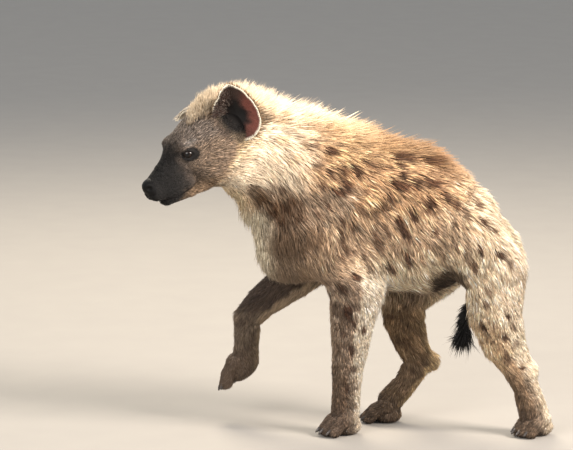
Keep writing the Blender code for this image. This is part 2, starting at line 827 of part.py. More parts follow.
def grow_brush(chance, collection):
    """Locks all round the last part of the tail, pointing to its end."""
    path = [Vector(section[:3]) for section in TAIL[4:]]
    for row in range(BRUSH_ROWS):
        at = row / (BRUSH_ROWS - 1) * (len(path) - 1.001)
        first = int(at)
        root = path[first].lerp(path[first + 1], at - first)
        along = (path[first + 1] - path[first]).normalized()
        for number in range(BRUSH_LOCKS):
            turn = 2 * math.pi * (number + 0.5 * (row % 2)) / BRUSH_LOCKS
            outward = Matrix.Rotation(turn, 3, along) @ Vector((1, 0, 0))
            grow = (along + outward * chance.uniform(0.34, 0.46)).normalized()
            flow = (along - grow * grow.dot(along)).normalized()
            length = BRUSH_LENGTH * chance.uniform(0.85, 1.1)
            made = lock(root + outward * 0.003, grow, flow, length, BRUSH_WIDTH)
            object_from("lock", made, collection)


def remove_collection(collection):
    for thing in list(collection.objects):
        bpy.data.objects.remove(thing)
    bpy.data.collections.remove(collection)


def fuse(thing, locks):
    """Joins a collection of locks to thing, and removes the collection."""
    combine(thing, locks, "UNION")
    remove_collection(locks)


def surfaces():
    """Name, colour, roughness and metallic value of each kind of surface."""
    coat, dark = (0.46, 0.35, 0.23, 1), (0.10, 0.08, 0.065, 1)
    return {
        "head": ("face_coat", (0.16, 0.13, 0.11, 1), 0.85),
        "neck": ("mane_coat", (0.58, 0.42, 0.24, 1), 0.85),
        "torso": ("body_coat", coat, 0.85),
        "leg": ("leg_coat", (0.30, 0.24, 0.18, 1), 0.85),
        "tail": ("brush_coat", (0.02, 0.018, 0.016, 1), 0.8),
        "ear": ("ear_skin", dark, 0.75),
        "eye": ("eye_wet", (0.015, 0.010, 0.008, 1), 0.05),
        "claw": ("claw_horn", (0.03, 0.026, 0.024, 1), 0.4),
    }


def dress(thing):
    """Gives thing the material of its kind, one for each object."""
    kind = thing.name.split("_")[0]
    label, colour, rough = surfaces()[kind]
    made = bpy.data.materials.new(label + "_" + thing.name)
    made.use_nodes = True
    shader = made.node_tree.nodes["Principled BSDF"]
    shader.inputs["Base Color"].default_value = colour
    shader.inputs["Roughness"].default_value = rough
    shader.inputs["Metallic"].default_value = 0.0
    thing.data.materials.clear()
    thing.data.materials.append(made)
    thing.data.shade_smooth()
    thing.data.set_sharp_from_angle(angle=math.radians(50))


def center_on_floor(things):
    """Moves the whole animal so that the middle of its bounding box is over the origin."""
    points = np.concatenate([mesh_points(thing.data) for thing in things])
    low, high = points.min(axis=0), points.max(axis=0)
    shift = np.array((-(low[0] + high[0]) / 2, -(low[1] + high[1]) / 2, -low[2]))
    for thing in things:
        set_points(thing.data, mesh_points(thing.data) + shift)


def crest_between(forms, front, back):
    """The crest's locks in a collection, those between two distances behind the nape's cut."""
    locks = new_collection("locks")
    grow_crest(forms, np.random.default_rng(11), locks)
    away = NAPE.inverted()
    for thing in list(locks.objects):
        if not front < (away @ thing.data.vertices[0].co).y < back:
            bpy.data.objects.remove(thing)
    return locks


def ahead_of(frame, name, thing, margin=0.0):
    """Splits thing at a plane: returns the piece on the plane's -Y side. thing keeps the rest."""
    place = frame @ Matrix.Translation((0, margin, 0))
    return split_off(thing, name, place, (-FAR, -FAR, -FAR), (FAR, 0, FAR))


def make_head(forms, collection):
    core = forms + [Chain(RIDGE, 0.03)]
    near = [Chain(NECK[1:], 0.05), Chain(RIDGE[:4], 0.03)] + head_forms()
    rough = blended_mesh("rough", near, core, HEAD_VOXEL, None, collection)
    wide = ahead_of(NAPE, "wide", rough, MARGIN)
    thin_to(wide, HEAD_TRIANGLES)
    fuse(wide, crest_between(forms, -FAR, MARGIN))
    head = ahead_of(NAPE, "head", wide)
    discard(rough, wide)
    for side in (1, -1):
        socket = eyeball("socket", side, collection, EYE_RADIUS + GAP)
        combine(head, socket, "DIFFERENCE")
        discard(socket)
    keep_largest(head)
    return head


def make_trunk(forms, collection):
    """The body with its legs and crest, behind the nape."""
    core = forms + [Chain(RIDGE, 0.03)]
    body = blended_mesh("torso", core, core, BODY_VOXEL, None, collection)
    discard(ahead_of(NAPE, "front", body, -MARGIN))
    thin_to(body, BODY_TRIANGLES)
    fuse(body, crest_between(forms, -MARGIN, FAR))
    discard(ahead_of(NAPE, "front", body))
    keep_largest(body)
    return body


def make_tail(body, collection):
    forms = [Chain(TAIL, 0.0)]
    tail = blended_mesh("tail", forms, forms, TAIL_VOXEL, TAIL_TRIANGLES, collection)
    locks = new_collection("locks")
    grow_brush(np.random.default_rng(5), locks)
    fuse(tail, locks)
    cut_clear(tail, body)
    return tail


def cut_clear(thing, other, gap=GAP):
    """Cuts thing back from other, with a gap between them."""
    swollen = copy_of(other, "swollen", gap)
    combine(thing, swollen, "DIFFERENCE")
    discard(swollen)
    keep_largest(thing)


def main():
    reset_scene()
    hyena = new_collection("hyena")
    forms = all_forms()
    body = make_trunk(forms, hyena)
    head = make_head(forms, hyena)
    neck = ahead_of(SHOULDER, "neck", body)
    pieces = [head, neck, body]
    for leg in LEGS:
        piece = split_leg(body, leg)
        if PAWS[leg][0].z == FLOOR:
            flatten_sole(piece)
        for number in range(len(TOE_SPREAD)):
            nail = claw(leg, number, hyena)
            cut_clear(nail, piece)
            pieces.append(nail)
        pieces.append(piece)
    keep_largest(body)
    pieces.append(make_tail(body, hyena))
    for side, word in ((1, "left"), (-1, "right")):
        ear = ear_solid("ear_" + word, side, hyena)
        combine(ear, head, "DIFFERENCE")
        cut_clear(ear, head, 2 * GAP)
        pieces += [ear, eyeball("eye_" + word, side, hyena)]
    center_on_floor(pieces)
    for piece in pieces:
        dress(piece)


main()
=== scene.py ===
"""A young spotted hyena in mid-stride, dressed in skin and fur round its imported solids.

Metres, +Z up. The hyena faces -Y and its left side is +X. Places below are in the frame in which
the body's forms were drawn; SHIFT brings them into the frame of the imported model.
"""

import json
import math

import bmesh
import bpy
import numpy as np
from mathutils import Matrix, Vector

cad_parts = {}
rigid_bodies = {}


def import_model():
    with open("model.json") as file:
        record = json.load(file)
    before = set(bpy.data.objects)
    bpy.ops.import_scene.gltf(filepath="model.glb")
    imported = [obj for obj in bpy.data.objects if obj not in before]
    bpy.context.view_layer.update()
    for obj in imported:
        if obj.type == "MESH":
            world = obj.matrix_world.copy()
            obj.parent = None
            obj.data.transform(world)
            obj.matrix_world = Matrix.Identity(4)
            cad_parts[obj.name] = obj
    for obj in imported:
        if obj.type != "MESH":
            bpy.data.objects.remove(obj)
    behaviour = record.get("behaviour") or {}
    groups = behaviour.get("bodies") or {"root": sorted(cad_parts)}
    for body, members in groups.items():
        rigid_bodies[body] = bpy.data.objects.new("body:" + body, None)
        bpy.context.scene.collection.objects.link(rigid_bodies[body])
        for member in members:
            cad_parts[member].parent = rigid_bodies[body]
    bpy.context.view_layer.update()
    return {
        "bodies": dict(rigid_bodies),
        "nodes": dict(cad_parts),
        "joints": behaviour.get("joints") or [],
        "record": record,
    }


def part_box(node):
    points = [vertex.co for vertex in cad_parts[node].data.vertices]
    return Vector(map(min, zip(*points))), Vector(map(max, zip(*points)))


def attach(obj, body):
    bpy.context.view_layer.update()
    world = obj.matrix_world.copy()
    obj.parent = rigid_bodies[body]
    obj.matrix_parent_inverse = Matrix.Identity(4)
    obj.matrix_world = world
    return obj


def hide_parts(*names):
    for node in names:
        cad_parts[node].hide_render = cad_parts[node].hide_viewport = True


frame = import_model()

bl_info = {
    "name": "Young spotted hyena",
    "version": (1, 0, 0),
    "blender": (4, 5, 0),
    "location": "3D View > Sidebar > Hyena",
    "description": "Skin, coat, ears, eyes and claws of a life-size young spotted hyena",
    "category": "Object",
}

BODY = "root"

# A form has no part in the blend at a point that is farther from it than this.
NEAR = 0.05

# The head: the point midway between the ear bases, how far the face turns to the left and dips.
HEAD_AT = Vector((0.018, -0.368, 0.663))
HEAD_YAW = math.radians(28)
HEAD_PITCH = math.radians(26)

# The eyes, in the head's own frame: left side of the face, +X left, -Y towards the nose, +Z crown.
EYE_AT = Vector((0.0385, -0.093, -0.0090))
EYE_RADIUS = 0.0135
LID_THICKNESS = 0.0028
EYE_OPENING = (0.0126, 0.0078)
EYE_TILT = 0.20
EYE_BARED = 0.0050
EYE_GAZE = Vector((0.80, -0.57, 0.12)).normalized()

# The line of the mouth: how far ahead of the ears its corner and its front end are, how high it is,
# and how far it sags between them.
MOUTH_CORNER = 0.106
MOUTH_FRONT = 0.197
MOUTH_HEIGHT = -0.0735
MOUTH_SAG = 0.0085


def frame_of(at, yaw=0.0, pitch=0.0, roll=0.0):
    """A frame that looks along its own -Y: yaw turns it to the left, pitch dips it."""
    turn = Matrix.Rotation(yaw, 4, "Z") @ Matrix.Rotation(pitch, 4, "X")
    return Matrix.Translation(at) @ turn @ Matrix.Rotation(roll, 4, "Y")


HEAD = frame_of(HEAD_AT, HEAD_YAW, HEAD_PITCH)
WORLD = Matrix.Identity(4)


class Chain:
    """Round sections joined one to the next. A section is x, y, z, radius and how wide it is for
    its height. blend is the fillet to what it grows from."""

    def __init__(self, sections, blend, frame=WORLD):
        self.sections = [(Vector(s[:3]), s[3], s[4] if len(s) > 4 else 1.0) for s in sections]
        self.blend = blend
        self.frame = frame
        ends = np.array([s[:3] for s in sections])
        centre = (ends.min(axis=0) + ends.max(axis=0)) / 2
        far = np.linalg.norm(ends - centre, axis=1)
        self.middle = np.array(frame @ Vector(centre))
        self.reach = max(f + s[3] * 1.3 for f, s in zip(far, sections))

    def distance(self, points):
        local = into(self.frame, points)
        found = np.full(len(points), np.inf)
        pairs = zip(self.sections, self.sections[1:] or self.sections)
        for (a, radius_a, wide_a), (b, radius_b, wide_b) in pairs:
            start, along = np.array(a), np.array(b - a)
            share = ((local - start) @ along) / max(along @ along, 1e-9)
            share = np.clip(share, 0, 1)
            off = local - start - share[:, None] * along
            wide = wide_a + (wide_b - wide_a) * share
            off[:, 0] /= wide
            length = np.linalg.norm(off, axis=1) + 1e-9
            steep = np.hypot(off[:, 0] / wide, np.hypot(off[:, 1], off[:, 2])) / length
            here = (length - (radius_a + (radius_b - radius_a) * share)) / steep
            found = np.minimum(found, here)
        return found

    def hulls(self, mesh):
        """Adds to mesh the convex hull of each pair of sections."""
        for first, second in zip(self.sections, self.sections[1:] or self.sections):
            hull = bmesh.new()
            for centre, radius, wide in (first, second):
                place = self.frame @ Matrix.Translation(centre) @ Matrix.Diagonal((wide, 1, 1, 1))
                bmesh.ops.create_icosphere(hull, subdivisions=2, radius=radius, matrix=place)
            swallow_hull(mesh, hull)


class Ball:
    """An ellipsoid with its three radii along its frame's axes."""

    def __init__(self, centre, radii, blend, frame=WORLD):
        self.centre = Vector(centre)
        self.radii = radii
        self.blend = blend
        self.frame = frame
        self.middle = np.array(frame @ self.centre)
        self.reach = max(radii)

    def distance(self, points):
        radii = np.array(self.radii)
        off = (into(self.frame, points) - np.array(self.centre)) / radii
        length = np.linalg.norm(off, axis=1) + 1e-9
        return (length - 1) * length / (np.linalg.norm(off / radii, axis=1) + 1e-9)

    def hulls(self, mesh):
        ball = bmesh.new()
        place = self.frame @ Matrix.Translation(self.centre) @ Matrix.Diagonal((*self.radii, 1))
        bmesh.ops.create_icosphere(ball, subdivisions=3, radius=1, matrix=place)
        swallow_hull(mesh, ball)


def swallow_hull(mesh, part):
    """Adds the convex hull of part's points to mesh."""
    bmesh.ops.convex_hull(part, input=part.verts)
    loose = [v for v in part.verts if not v.link_faces]
    bmesh.ops.delete(part, geom=loose, context="VERTS")
    made = bpy.data.meshes.new("hull")
    part.to_mesh(made)
    part.free()
    mesh.from_mesh(made)
    bpy.data.meshes.remove(made)


def unit(vectors):
    """Vectors at length 1."""
    return vectors / (np.linalg.norm(vectors, axis=-1, keepdims=True) + 1e-9)


def into(frame, points):
    """World points in a frame's own coordinates."""
    back = np.array(frame.inverted())
    return points @ back[:3, :3].T + back[:3, 3]


SPINE = [
    (0, -0.165, 0.508, 0.127, 0.70),
    (0, -0.090, 0.480, 0.158, 0.68),
    (0, 0.000, 0.463, 0.160, 0.68),
    (0, 0.075, 0.445, 0.145, 0.69),
    (0, 0.140, 0.440, 0.109, 0.80),
    (0, 0.185, 0.420, 0.079, 0.92),
]
BREAST = [(0, -0.205, 0.470, 0.080, 0.92), (0, -0.200, 0.400, 0.078, 0.90)]
NECK = [
    (0.000, -0.175, 0.548, 0.118, 0.72),
    (0.010, -0.262, 0.594, 0.102, 0.80),
    (0.018, -0.340, 0.630, 0.092, 0.86),
]


def trunk_forms():
    """The trunk, the breast and the neck."""
    return [Chain(SPINE, 0.0), Chain(BREAST, 0.04), Chain(NECK, 0.05)]


def head_forms():
    """The skull, muzzle, jaw and the soft parts on them, in the head's own frame."""
    skull = Ball((0, -0.018, -0.014), (0.067, 0.078, 0.060), 0.035, HEAD)
    forehead = Ball((0, -0.072, -0.014), (0.052, 0.052, 0.046), 0.02, HEAD)
    muzzle = [
        (0, -0.095, -0.032, 0.046, 1.00),
        (0, -0.140, -0.044, 0.036, 1.00),
        (0, -0.178, -0.050, 0.026, 1.12),
    ]
    jaw = [
        (0, -0.166, -0.084, 0.0155, 1.10),
        (0, -0.112, -0.081, 0.0285, 1.20),
        (0, -0.050, -0.074, 0.0440, 1.20),
        (0, -0.005, -0.066, 0.0600, 1.05),
    ]
    found = [
        skull,
        forehead,
        Chain(muzzle, 0.02, HEAD),
        Chain(jaw, 0.014, HEAD),
        Ball((0, -0.191, -0.040), (0.0190, 0.0150, 0.0145), 0.008, HEAD),
    ]
    for side in (1, -1):
        lip = [
            (side * 0.015, -0.186, -0.060, 0.012),
            (side * 0.024, -0.155, -0.067, 0.014),
            (side * 0.033, -0.118, -0.064, 0.015),
        ]
        found += [
            Ball((side * 0.047, -0.042, -0.045), (0.031, 0.047, 0.046), 0.03, HEAD),
            Ball((side * 0.035, -0.090, 0.010), (0.015, 0.020, 0.011), 0.014, HEAD),
            Chain(lip, 0.012, HEAD),
            Ball(on_side(EYE_AT, side), (EYE_RADIUS + LID_THICKNESS,) * 3, 0.008, HEAD),
        ]
    return found


def on_side(point, side):
    """A place of the left side, or its mirror on the right."""
    return Vector((side * point.x, point.y, point.z))


# Each leg is a chain from where it swells out of the trunk down to the wrist or the ankle.
FRONT_LEFT_LEG = [
    (0.058, -0.160, 0.550, 0.046, 0.80),
    (0.068, -0.180, 0.440, 0.062, 0.74),
    (0.070, -0.080, 0.370, 0.064, 0.72),
    (0.068, -0.062, 0.318, 0.061, 0.70),
    (0.066, -0.070, 0.258, 0.049, 0.76),
    (0.064, -0.075, 0.190, 0.040, 0.82),
    (0.062, -0.081, 0.145, 0.034, 0.88),
    (0.062, -0.083, 0.100, 0.031, 0.92),
    (0.062, -0.085, 0.050, 0.031, 0.98),
]
FRONT_RIGHT_LEG = [
    (-0.058, -0.165, 0.555, 0.050, 0.75),
    (-0.070, -0.205, 0.430, 0.064, 0.70),
    (-0.076, -0.140, 0.372, 0.060, 0.72),
    (-0.075, -0.190, 0.322, 0.046, 0.78),
    (-0.072, -0.262, 0.268, 0.036, 0.86),
    (-0.070, -0.296, 0.232, 0.031, 0.90),
    (-0.070, -0.299, 0.175, 0.027, 0.95),
    (-0.070, -0.301, 0.138, 0.029, 1.00),
]
HIND_LEFT_LEG = [
    (0.058, 0.176, 0.418, 0.077, 0.76),
    (0.074, 0.232, 0.358, 0.069, 0.70),
    (0.076, 0.234, 0.268, 0.058, 0.68),
    (0.074, 0.252, 0.205, 0.048, 0.74),
    (0.072, 0.280, 0.155, 0.035, 0.82),
    (0.070, 0.301, 0.108, 0.029, 0.90),
    (0.070, 0.318, 0.052, 0.032, 0.95),
]
HIND_RIGHT_LEG = [
    (-0.058, 0.174, 0.418, 0.077, 0.76),
    (-0.074, 0.105, 0.350, 0.074, 0.64),
    (-0.076, 0.045, 0.285, 0.057, 0.68),
    (-0.074, 0.044, 0.230, 0.046, 0.74),
    (-0.071, 0.058, 0.180, 0.038, 0.80),
    (-0.068, 0.077, 0.138, 0.032, 0.86),
    (-0.066, 0.050, 0.088, 0.026, 0.92),
    (-0.065, 0.016, 0.050, 0.028, 0.98),
]
HOCKS = {"hind_left": (0.072, 0.306, 0.146), "hind_right": (-0.068, 0.105, 0.137)}
LEGS = {
    "hind_left": HIND_LEFT_LEG,
    "hind_right": HIND_RIGHT_LEG,
    "front_left": FRONT_LEFT_LEG,
    "front_right": FRONT_RIGHT_LEG,
}

# Each paw: the middle of its sole, how far it turns to the left and dips, and its size. They toe out.
# Only the right front one is off the floor, carried forward in the stride.
PAWS = {
    "front_left": (Vector((0.062, -0.086, 0.0)), math.radians(20), 0.0, 0.98),
    "front_right": (Vector((-0.070, -0.303, 0.098)), math.radians(-8), math.radians(33), 0.96),
    "hind_left": (Vector((0.070, 0.328, 0.0)), math.radians(28), 0.0, 0.93),
    "hind_right": (Vector((-0.065, 0.006, 0.0)), math.radians(-12), 0.0, 0.93),
}
TOE_SPREAD = (-0.0260, -0.0090, 0.0090, 0.0260)
TOE_REACH = (0.034, 0.044, 0.044, 0.034)
TOE_RADIUS = 0.0134


def paw_frame(leg):
    """A paw's own frame: the middle of its sole, its turn and its size."""
    at, yaw, dip, size = PAWS[leg]
    return frame_of(at, yaw, dip) @ Matrix.Scale(size, 4)


def paw_forms(leg):
    """The pad and four toes, in a frame whose floor is the sole."""
    place = paw_frame(leg)
    found = [Ball((0, 0.002, 0.021), (0.0310, 0.0340, 0.0240), 0.012, place)]
    for across, reach in zip(TOE_SPREAD, TOE_REACH):
        toe = [
            (across * 0.72, 0.002, 0.042, 0.0190),
            (across * 0.96, -0.6 * reach, 0.0290, 0.0152),
            (across * 1.08, -reach, 0.0131, TOE_RADIUS),
        ]
        found.append(Chain(toe, 0.004, place))
    return found


def leg_forms(leg):
    """A leg with its paw and, behind, the point of its hock."""
    found = [Chain(LEGS[leg], 0.03)] + paw_forms(leg)
    if leg in HOCKS:
        found.append(Chain([(*HOCKS[leg], 0.018, 0.80)], 0.02))
    return found


def all_forms():
    """Every form of the animal but its tail."""
    found = trunk_forms() + head_forms()
    for leg in LEGS:
        found += leg_forms(leg)
    return found


def smooth_min(first, second, blend):
    """The lesser distance, with a fillet where both are near."""
    if blend <= 0:
        return np.minimum(first, second)
    share = np.clip(0.5 + 0.5 * (second - first) / blend, 0, 1)
    return second * (1 - share) + first * share - blend * share * (1 - share)


def bump(distance, width):
    """1 at distance 0, falling off to 0 over a few widths."""
    return np.exp(-((distance / width) ** 2))


def mouth_height(forward):
    """Height of the mouth's line at a distance forward of the ears."""
    share = (forward - MOUTH_CORNER) / (MOUTH_FRONT - MOUTH_CORNER)
    return MOUTH_HEIGHT - MOUTH_SAG * np.sin(np.pi * np.clip(share, 0, 1))


def mouth_relief(forward, height):
    """The line of the mouth, with a lip rolled out above and below it."""
    from_line = height - mouth_height(forward)
    along = np.clip((forward - MOUTH_CORNER) / 0.012, 0, 1)
    groove = 0.0046 * bump(from_line, 0.0021)
    lips = 0.0014 * bump(from_line - 0.0062, 0.0040) + 0.0014 * bump(from_line + 0.0060, 0.0038)
    return along * (groove - lips)


def nose_relief(forward, side, height):
    """The nostrils, which open to the side, and the groove between them."""
    across = (side - 0.0148) / 1.3
    nostril = np.sqrt(across**2 + ((forward - 0.1980) / 1.2) ** 2 + (height + 0.0390) ** 2)
    parting = bump(side, 0.0015) * bump(height + 0.056, 0.010) * (forward > 0.185)
    return 0.0060 * bump(nostril, 0.0046) + 0.0018 * parting


def square_to(gaze):
    """Level across a gaze, and up from it."""
    across = gaze.cross(Vector((0, 0, 1))).normalized()
    return across, across.cross(gaze)


def lid_relief(local, side):
    """How deep the almond between the lids is, enough to bare the eye, with a raised rim."""
    centre = on_side(EYE_AT, side)
    gaze = on_side(EYE_GAZE, side)
    across, upward = square_to(gaze)
    off = local - np.array(centre)
    along = off @ np.array(across)
    tilt = EYE_TILT * along * (1 if across.y < 0 else -1)
    wide = along / EYE_OPENING[0]
    high = (off @ np.array(upward) - tilt) / EYE_OPENING[1]
    inside = np.hypot(wide, high)
    front = off @ np.array(gaze) > 0
    opened = np.clip((1.25 - inside) / 0.5, 0, 1)
    rim = bump(inside - 1.55, 0.35)
    return front * (EYE_BARED * opened - 0.0007 * rim)


def on_face(points):
    """How far points are to a side of the head, forward of its middle and above it."""
    local = into(HEAD, points)
    return np.abs(local[:, 0]), -local[:, 1], local[:, 2]


def relief(points):
    """How far the surface is cut in (+) or raised (-) at the mouth, the nostrils and the lids."""
    local = into(HEAD, points)
    side, forward, height = on_face(points)
    depth = mouth_relief(forward, height) + nose_relief(forward, side, height)
    near = np.linalg.norm(local + np.array((0, 0.12, 0.03)), axis=1) < 0.13
    depth += lid_relief(local, 1) + lid_relief(local, -1)
    return np.where(near, depth, 0.0)


def body_distance(points, forms):
    """Signed distance to the blended animal, negative inside it. Only near forms count."""
    found = np.ones(len(points))
    for form in forms:
        near = np.linalg.norm(points - form.middle, axis=1) < form.reach + NEAR
        if near.any():
            found[near] = smooth_min(form.distance(points[near]), found[near], form.blend)
    return found


def body_slope(points, forms, distance):
    """The direction in which the distance grows, and how fast."""
    step = 1e-4
    return np.stack(
        [(body_distance(points + step * axis, forms) - distance) / step for axis in np.eye(3)],
        axis=1,
    )


# The ear as cut from a flat sheet: how many mm its rim is from the middle, by degrees turned
# from the back edge over the tip to the front. The tip is at 105, the foot in the head at EAR_FOOT.
EAR_AT = Vector((0.090, 0.002, 0.019))
RIGHT_EAR_AT = (-0.074, 0.013, -0.004)
RIGHT_EAR_OUT = math.radians(-92)
RIGHT_EAR_FORWARD = math.radians(45)
EAR_MIDDLE = (0.014, 0.015)
EAR_ANGLES = (0, 30, 60, 85, 105, 120, 137, 165, 190, 220, 250, 271, 285, 305, 327, 350)
EAR_REACH = (47, 43.5, 46, 57, 67, 61, 50, 47, 46, 45, 48, 51, 55, 56, 55, 51)
EAR_FOOT = 222
EAR_DEPTH = 0.036
EAR_THICKNESS = 0.0042


def head_level():
    """The turn that brings the head's frame back to the world's."""
    return HEAD.to_3x3().inverted().to_4x4()


def ear_frame(side):
    """The left ear is up and square to the left. The right one is held out, low and forward."""
    if side > 0:
        return HEAD @ Matrix.Translation(EAR_AT) @ head_level()
    splay = Matrix.Rotation(RIGHT_EAR_FORWARD, 4, "Z") @ Matrix.Rotation(RIGHT_EAR_OUT, 4, "Y")
    return HEAD @ Matrix.Translation(RIGHT_EAR_AT) @ head_level() @ splay


def ear_reach(angle):
    """How far the rim is from the middle of the cup, at an angle."""
    return np.interp(angle, EAR_ANGLES, EAR_REACH, period=360) / 1000


def ear_point(angle, share):
    """A point of the cup in the ear's frame: +X out of the opening, +Y to the back, +Z up."""
    reach = ear_reach(angle)
    sunk = 0.030 * max(0.0, math.cos(math.radians(angle - EAR_FOOT))) ** 0.7
    turn = math.radians(angle)
    rise = share**1.7
    return Vector((
        -EAR_DEPTH + (EAR_DEPTH - sunk) * rise,
        EAR_MIDDLE[0] + reach * share * math.cos(turn),
        EAR_MIDDLE[1] + reach * share * math.sin(turn),
    ))


# The tail is held in between the hind legs. From the fifth section on it is the core of the brush.
TAIL = [
    (0, 0.215, 0.440, 0.034),
    (0, 0.262, 0.420, 0.023),
    (0, 0.284, 0.385, 0.017),
    (0, 0.264, 0.342, 0.0145),
    (0, 0.224, 0.305, 0.0130),
    (0, 0.194, 0.278, 0.0125),
    (0, 0.179, 0.245, 0.0120),
    (0, 0.172, 0.210, 0.0090),
]
BRUSH = TAIL[4:]
# Between these heights the tail's black begins.
BRUSH_START = (0.335, 0.30)

# The hair of the crest, from the forehead over the neck to the loins: a point inside the animal, and
# there the hair's length, how far it leans back from upright and how far it goes down each side.
CREST = [
    (0.0415, -0.410, 0.640, 0.024, -20, 27),
    (0.0270, -0.375, 0.650, 0.034, -4, 28),
    (0.0150, -0.325, 0.635, 0.047, 14, 28),
    (0.0080, -0.265, 0.610, 0.056, 30, 25),
    (0.0000, -0.190, 0.580, 0.063, 42, 21),
    (0.0000, -0.100, 0.540, 0.063, 50, 17),
    (0.0000, 0.000, 0.505, 0.058, 58, 13),
    (0.0000, 0.080, 0.480, 0.047, 66, 10),
    (0.0000, 0.150, 0.457, 0.036, 72, 8),
]

# The planes that part the head from the neck, and the neck from the trunk.
NAPE = frame_of(Vector((0.012, -0.310, 0.612)), math.radians(8), math.radians(-34))
SHOULDER = frame_of(Vector((0.0, -0.225, 0.560)), 0.0, math.radians(-36))

EYE_LOW, EYE_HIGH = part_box("eye_left")
SHIFT = np.array((EYE_LOW + EYE_HIGH) / 2 - HEAD @ EYE_AT)


# The skin: the voxel of its first draft, in how many steps it is drawn onto the forms before and
# after the face is divided, the farthest that a point is moved, and how much its colour is darkened
# under the coat, as painted shade.
SKIN_VOXEL = 0.0032
SKIN_STEPS = 4
FACE_STEPS = 3
DRAW_REACH = 0.045
UNDER_COAT_PAINTED_SHADE = 0.62
# The balls of the head in which the skin's faces are divided once more: middle and radius.
FACE_AREAS = (((0.0, -0.125, -0.03), 0.105), ((0.0, -0.130, -0.045), 0.085))


def mirrored_post(post):
    """A post of the coat on the other side of the body."""
    at, flow, *rest = post
    return ((-at[0], at[1], at[2]), (-flow[0], flow[1], flow[2]), *rest)


def head_post(at, flow, *rest):
    """A post given in the head's own frame."""
    turn = HEAD.to_3x3()
    return (tuple(HEAD @ Vector(at)), tuple(turn @ Vector(flow)), *rest)


# The lie of the coat: a place on the left side, the way the hair runs there, its length in mm and
# how many degrees it stands off the skin. Places on the head are in the head's own frame.
HEAD_COAT = (
    ((0.000, -0.190, -0.030), (0.0, 1.0, 0.5), 3, 12),
    ((0.014, -0.165, -0.022), (0.3, 1.0, 0.2), 4, 14),
    ((0.028, -0.150, -0.055), (0.4, 1.0, -0.1), 5, 16),
    ((0.012, -0.160, -0.098), (0.2, 1.0, -0.1), 6, 18),
    ((0.025, -0.115, 0.012), (0.2, 1.0, 0.5), 6, 16),
    ((0.045, -0.105, -0.045), (0.3, 1.0, -0.1), 6, 14),
    ((0.052, -0.095, -0.010), (0.5, 1.0, 0.2), 6, 14),
    ((0.020, -0.080, 0.035), (0.1, 1.0, 0.5), 11, 22),
    ((0.050, -0.060, 0.020), (0.4, 1.0, 0.2), 12, 20),
    ((0.066, -0.060, -0.050), (0.2, 1.0, -0.3), 15, 18),
    ((0.040, -0.090, -0.100), (0.1, 1.0, -0.2), 13, 20),
    ((0.030, -0.040, -0.130), (0.0, 1.0, -0.1), 20, 20),
    ((0.000, -0.030, 0.050), (0.0, 1.0, 0.4), 20, 34),
    ((0.060, -0.010, 0.000), (0.2, 1.0, 0.0), 16, 20),
    ((0.072, 0.000, -0.070), (0.1, 1.0, -0.3), 24, 20),
)
BODY_COAT = (
    ((0.090, -0.270, 0.610), (0.1, 0.8, -0.5), 36, 18),
    ((0.085, -0.230, 0.540), (0.1, 0.6, -0.8), 36, 18),
    ((0.000, -0.310, 0.520), (0.0, 0.5, -0.9), 34, 24),
    ((0.030, -0.270, 0.690), (0.1, 1.0, 0.0), 38, 30),
    ((0.000, -0.285, 0.440), (0.1, 0.3, -1.0), 34, 20),
    ((0.100, -0.170, 0.500), (0.0, 0.6, -0.8), 33, 17),
    ((0.095, -0.150, 0.420), (0.0, 0.4, -1.0), 29, 16),
    ((0.115, 0.000, 0.480), (0.0, 0.65, -0.85), 34, 17),
    ((0.105, 0.010, 0.380), (0.0, 0.45, -1.0), 34, 20),
    ((0.080, -0.060, 0.590), (0.2, 0.8, -0.5), 36, 20),
    ((0.030, 0.000, 0.620), (0.2, 1.0, -0.2), 36, 22),
    ((0.030, 0.140, 0.540), (0.2, 1.0, -0.4), 32, 20),
    ((0.030, 0.020, 0.310), (0.2, 0.8, -0.7), 28, 24),
    ((0.000, 0.140, 0.330), (0.1, 0.8, -0.3), 16, 18),
    ((0.090, 0.150, 0.470), (0.0, 0.6, -0.8), 30, 16),
    ((0.055, 0.225, 0.500), (0.1, 0.7, -0.7), 28, 18),
    ((0.105, 0.220, 0.370), (0.0, 0.4, -0.9), 25, 16),
    ((0.050, 0.285, 0.400), (0.0, 0.2, -1.0), 26, 18),
    ((0.020, 0.250, 0.330), (0.0, 0.0, -1.0), 18, 14),
)
LEG_COAT_LENGTHS = (22, 22, 20, 18, 16, 15, 14, 12, 11)
LEG_LIFT = 17
PAW_COAT = (
    ((0.0, -0.020, 0.040), (0.0, -1.0, -0.5), 8, 14),
    ((0.0, 0.030, 0.020), (0.0, 0.3, -1.0), 9, 14),
)
TAIL_LENGTHS = (24, 22, 22, 24, 34, 46, 50, 50)
TAIL_LIFT = 16


def run_of(chain, number):
    """A section's place, and the way to it from the section before."""
    here, before = Vector(chain[number][:3]), Vector(chain[number - 1][:3])
    return tuple(here), (here - before).normalized()


def leg_posts(leg):
    """Hair runs down each leg and forward over the paw."""
    found = []
    for number in range(2, len(LEGS[leg])):
        here, run = run_of(LEGS[leg], number)
        run = run + Vector((0, 0.25, 0))
        found.append((here, tuple(run), LEG_COAT_LENGTHS[number], LEG_LIFT))
    place = paw_frame(leg)
    turn = place.to_3x3().normalized()
    for at, flow, length, lift in PAW_COAT:
        found.append((tuple(place @ Vector(at)), tuple(turn @ Vector(flow)), length, lift))
    return found


def tail_posts():
    """Hair runs down the tail."""
    found = []
    for number in range(1, len(TAIL)):
        here, run = run_of(TAIL, number)
        found.append((here, tuple(run), TAIL_LENGTHS[number], TAIL_LIFT))
    return found


def coat_posts():
    """Every post of head, body and legs, those of the left side mirrored to the right."""
    found = [head_post(*post) for post in HEAD_COAT]
    found += [head_post(*mirrored_post(post)) for post in HEAD_COAT]
    found += [*BODY_COAT, *map(mirrored_post, BODY_COAT)]
    for leg in LEGS:
        found += leg_posts(leg)
    return found


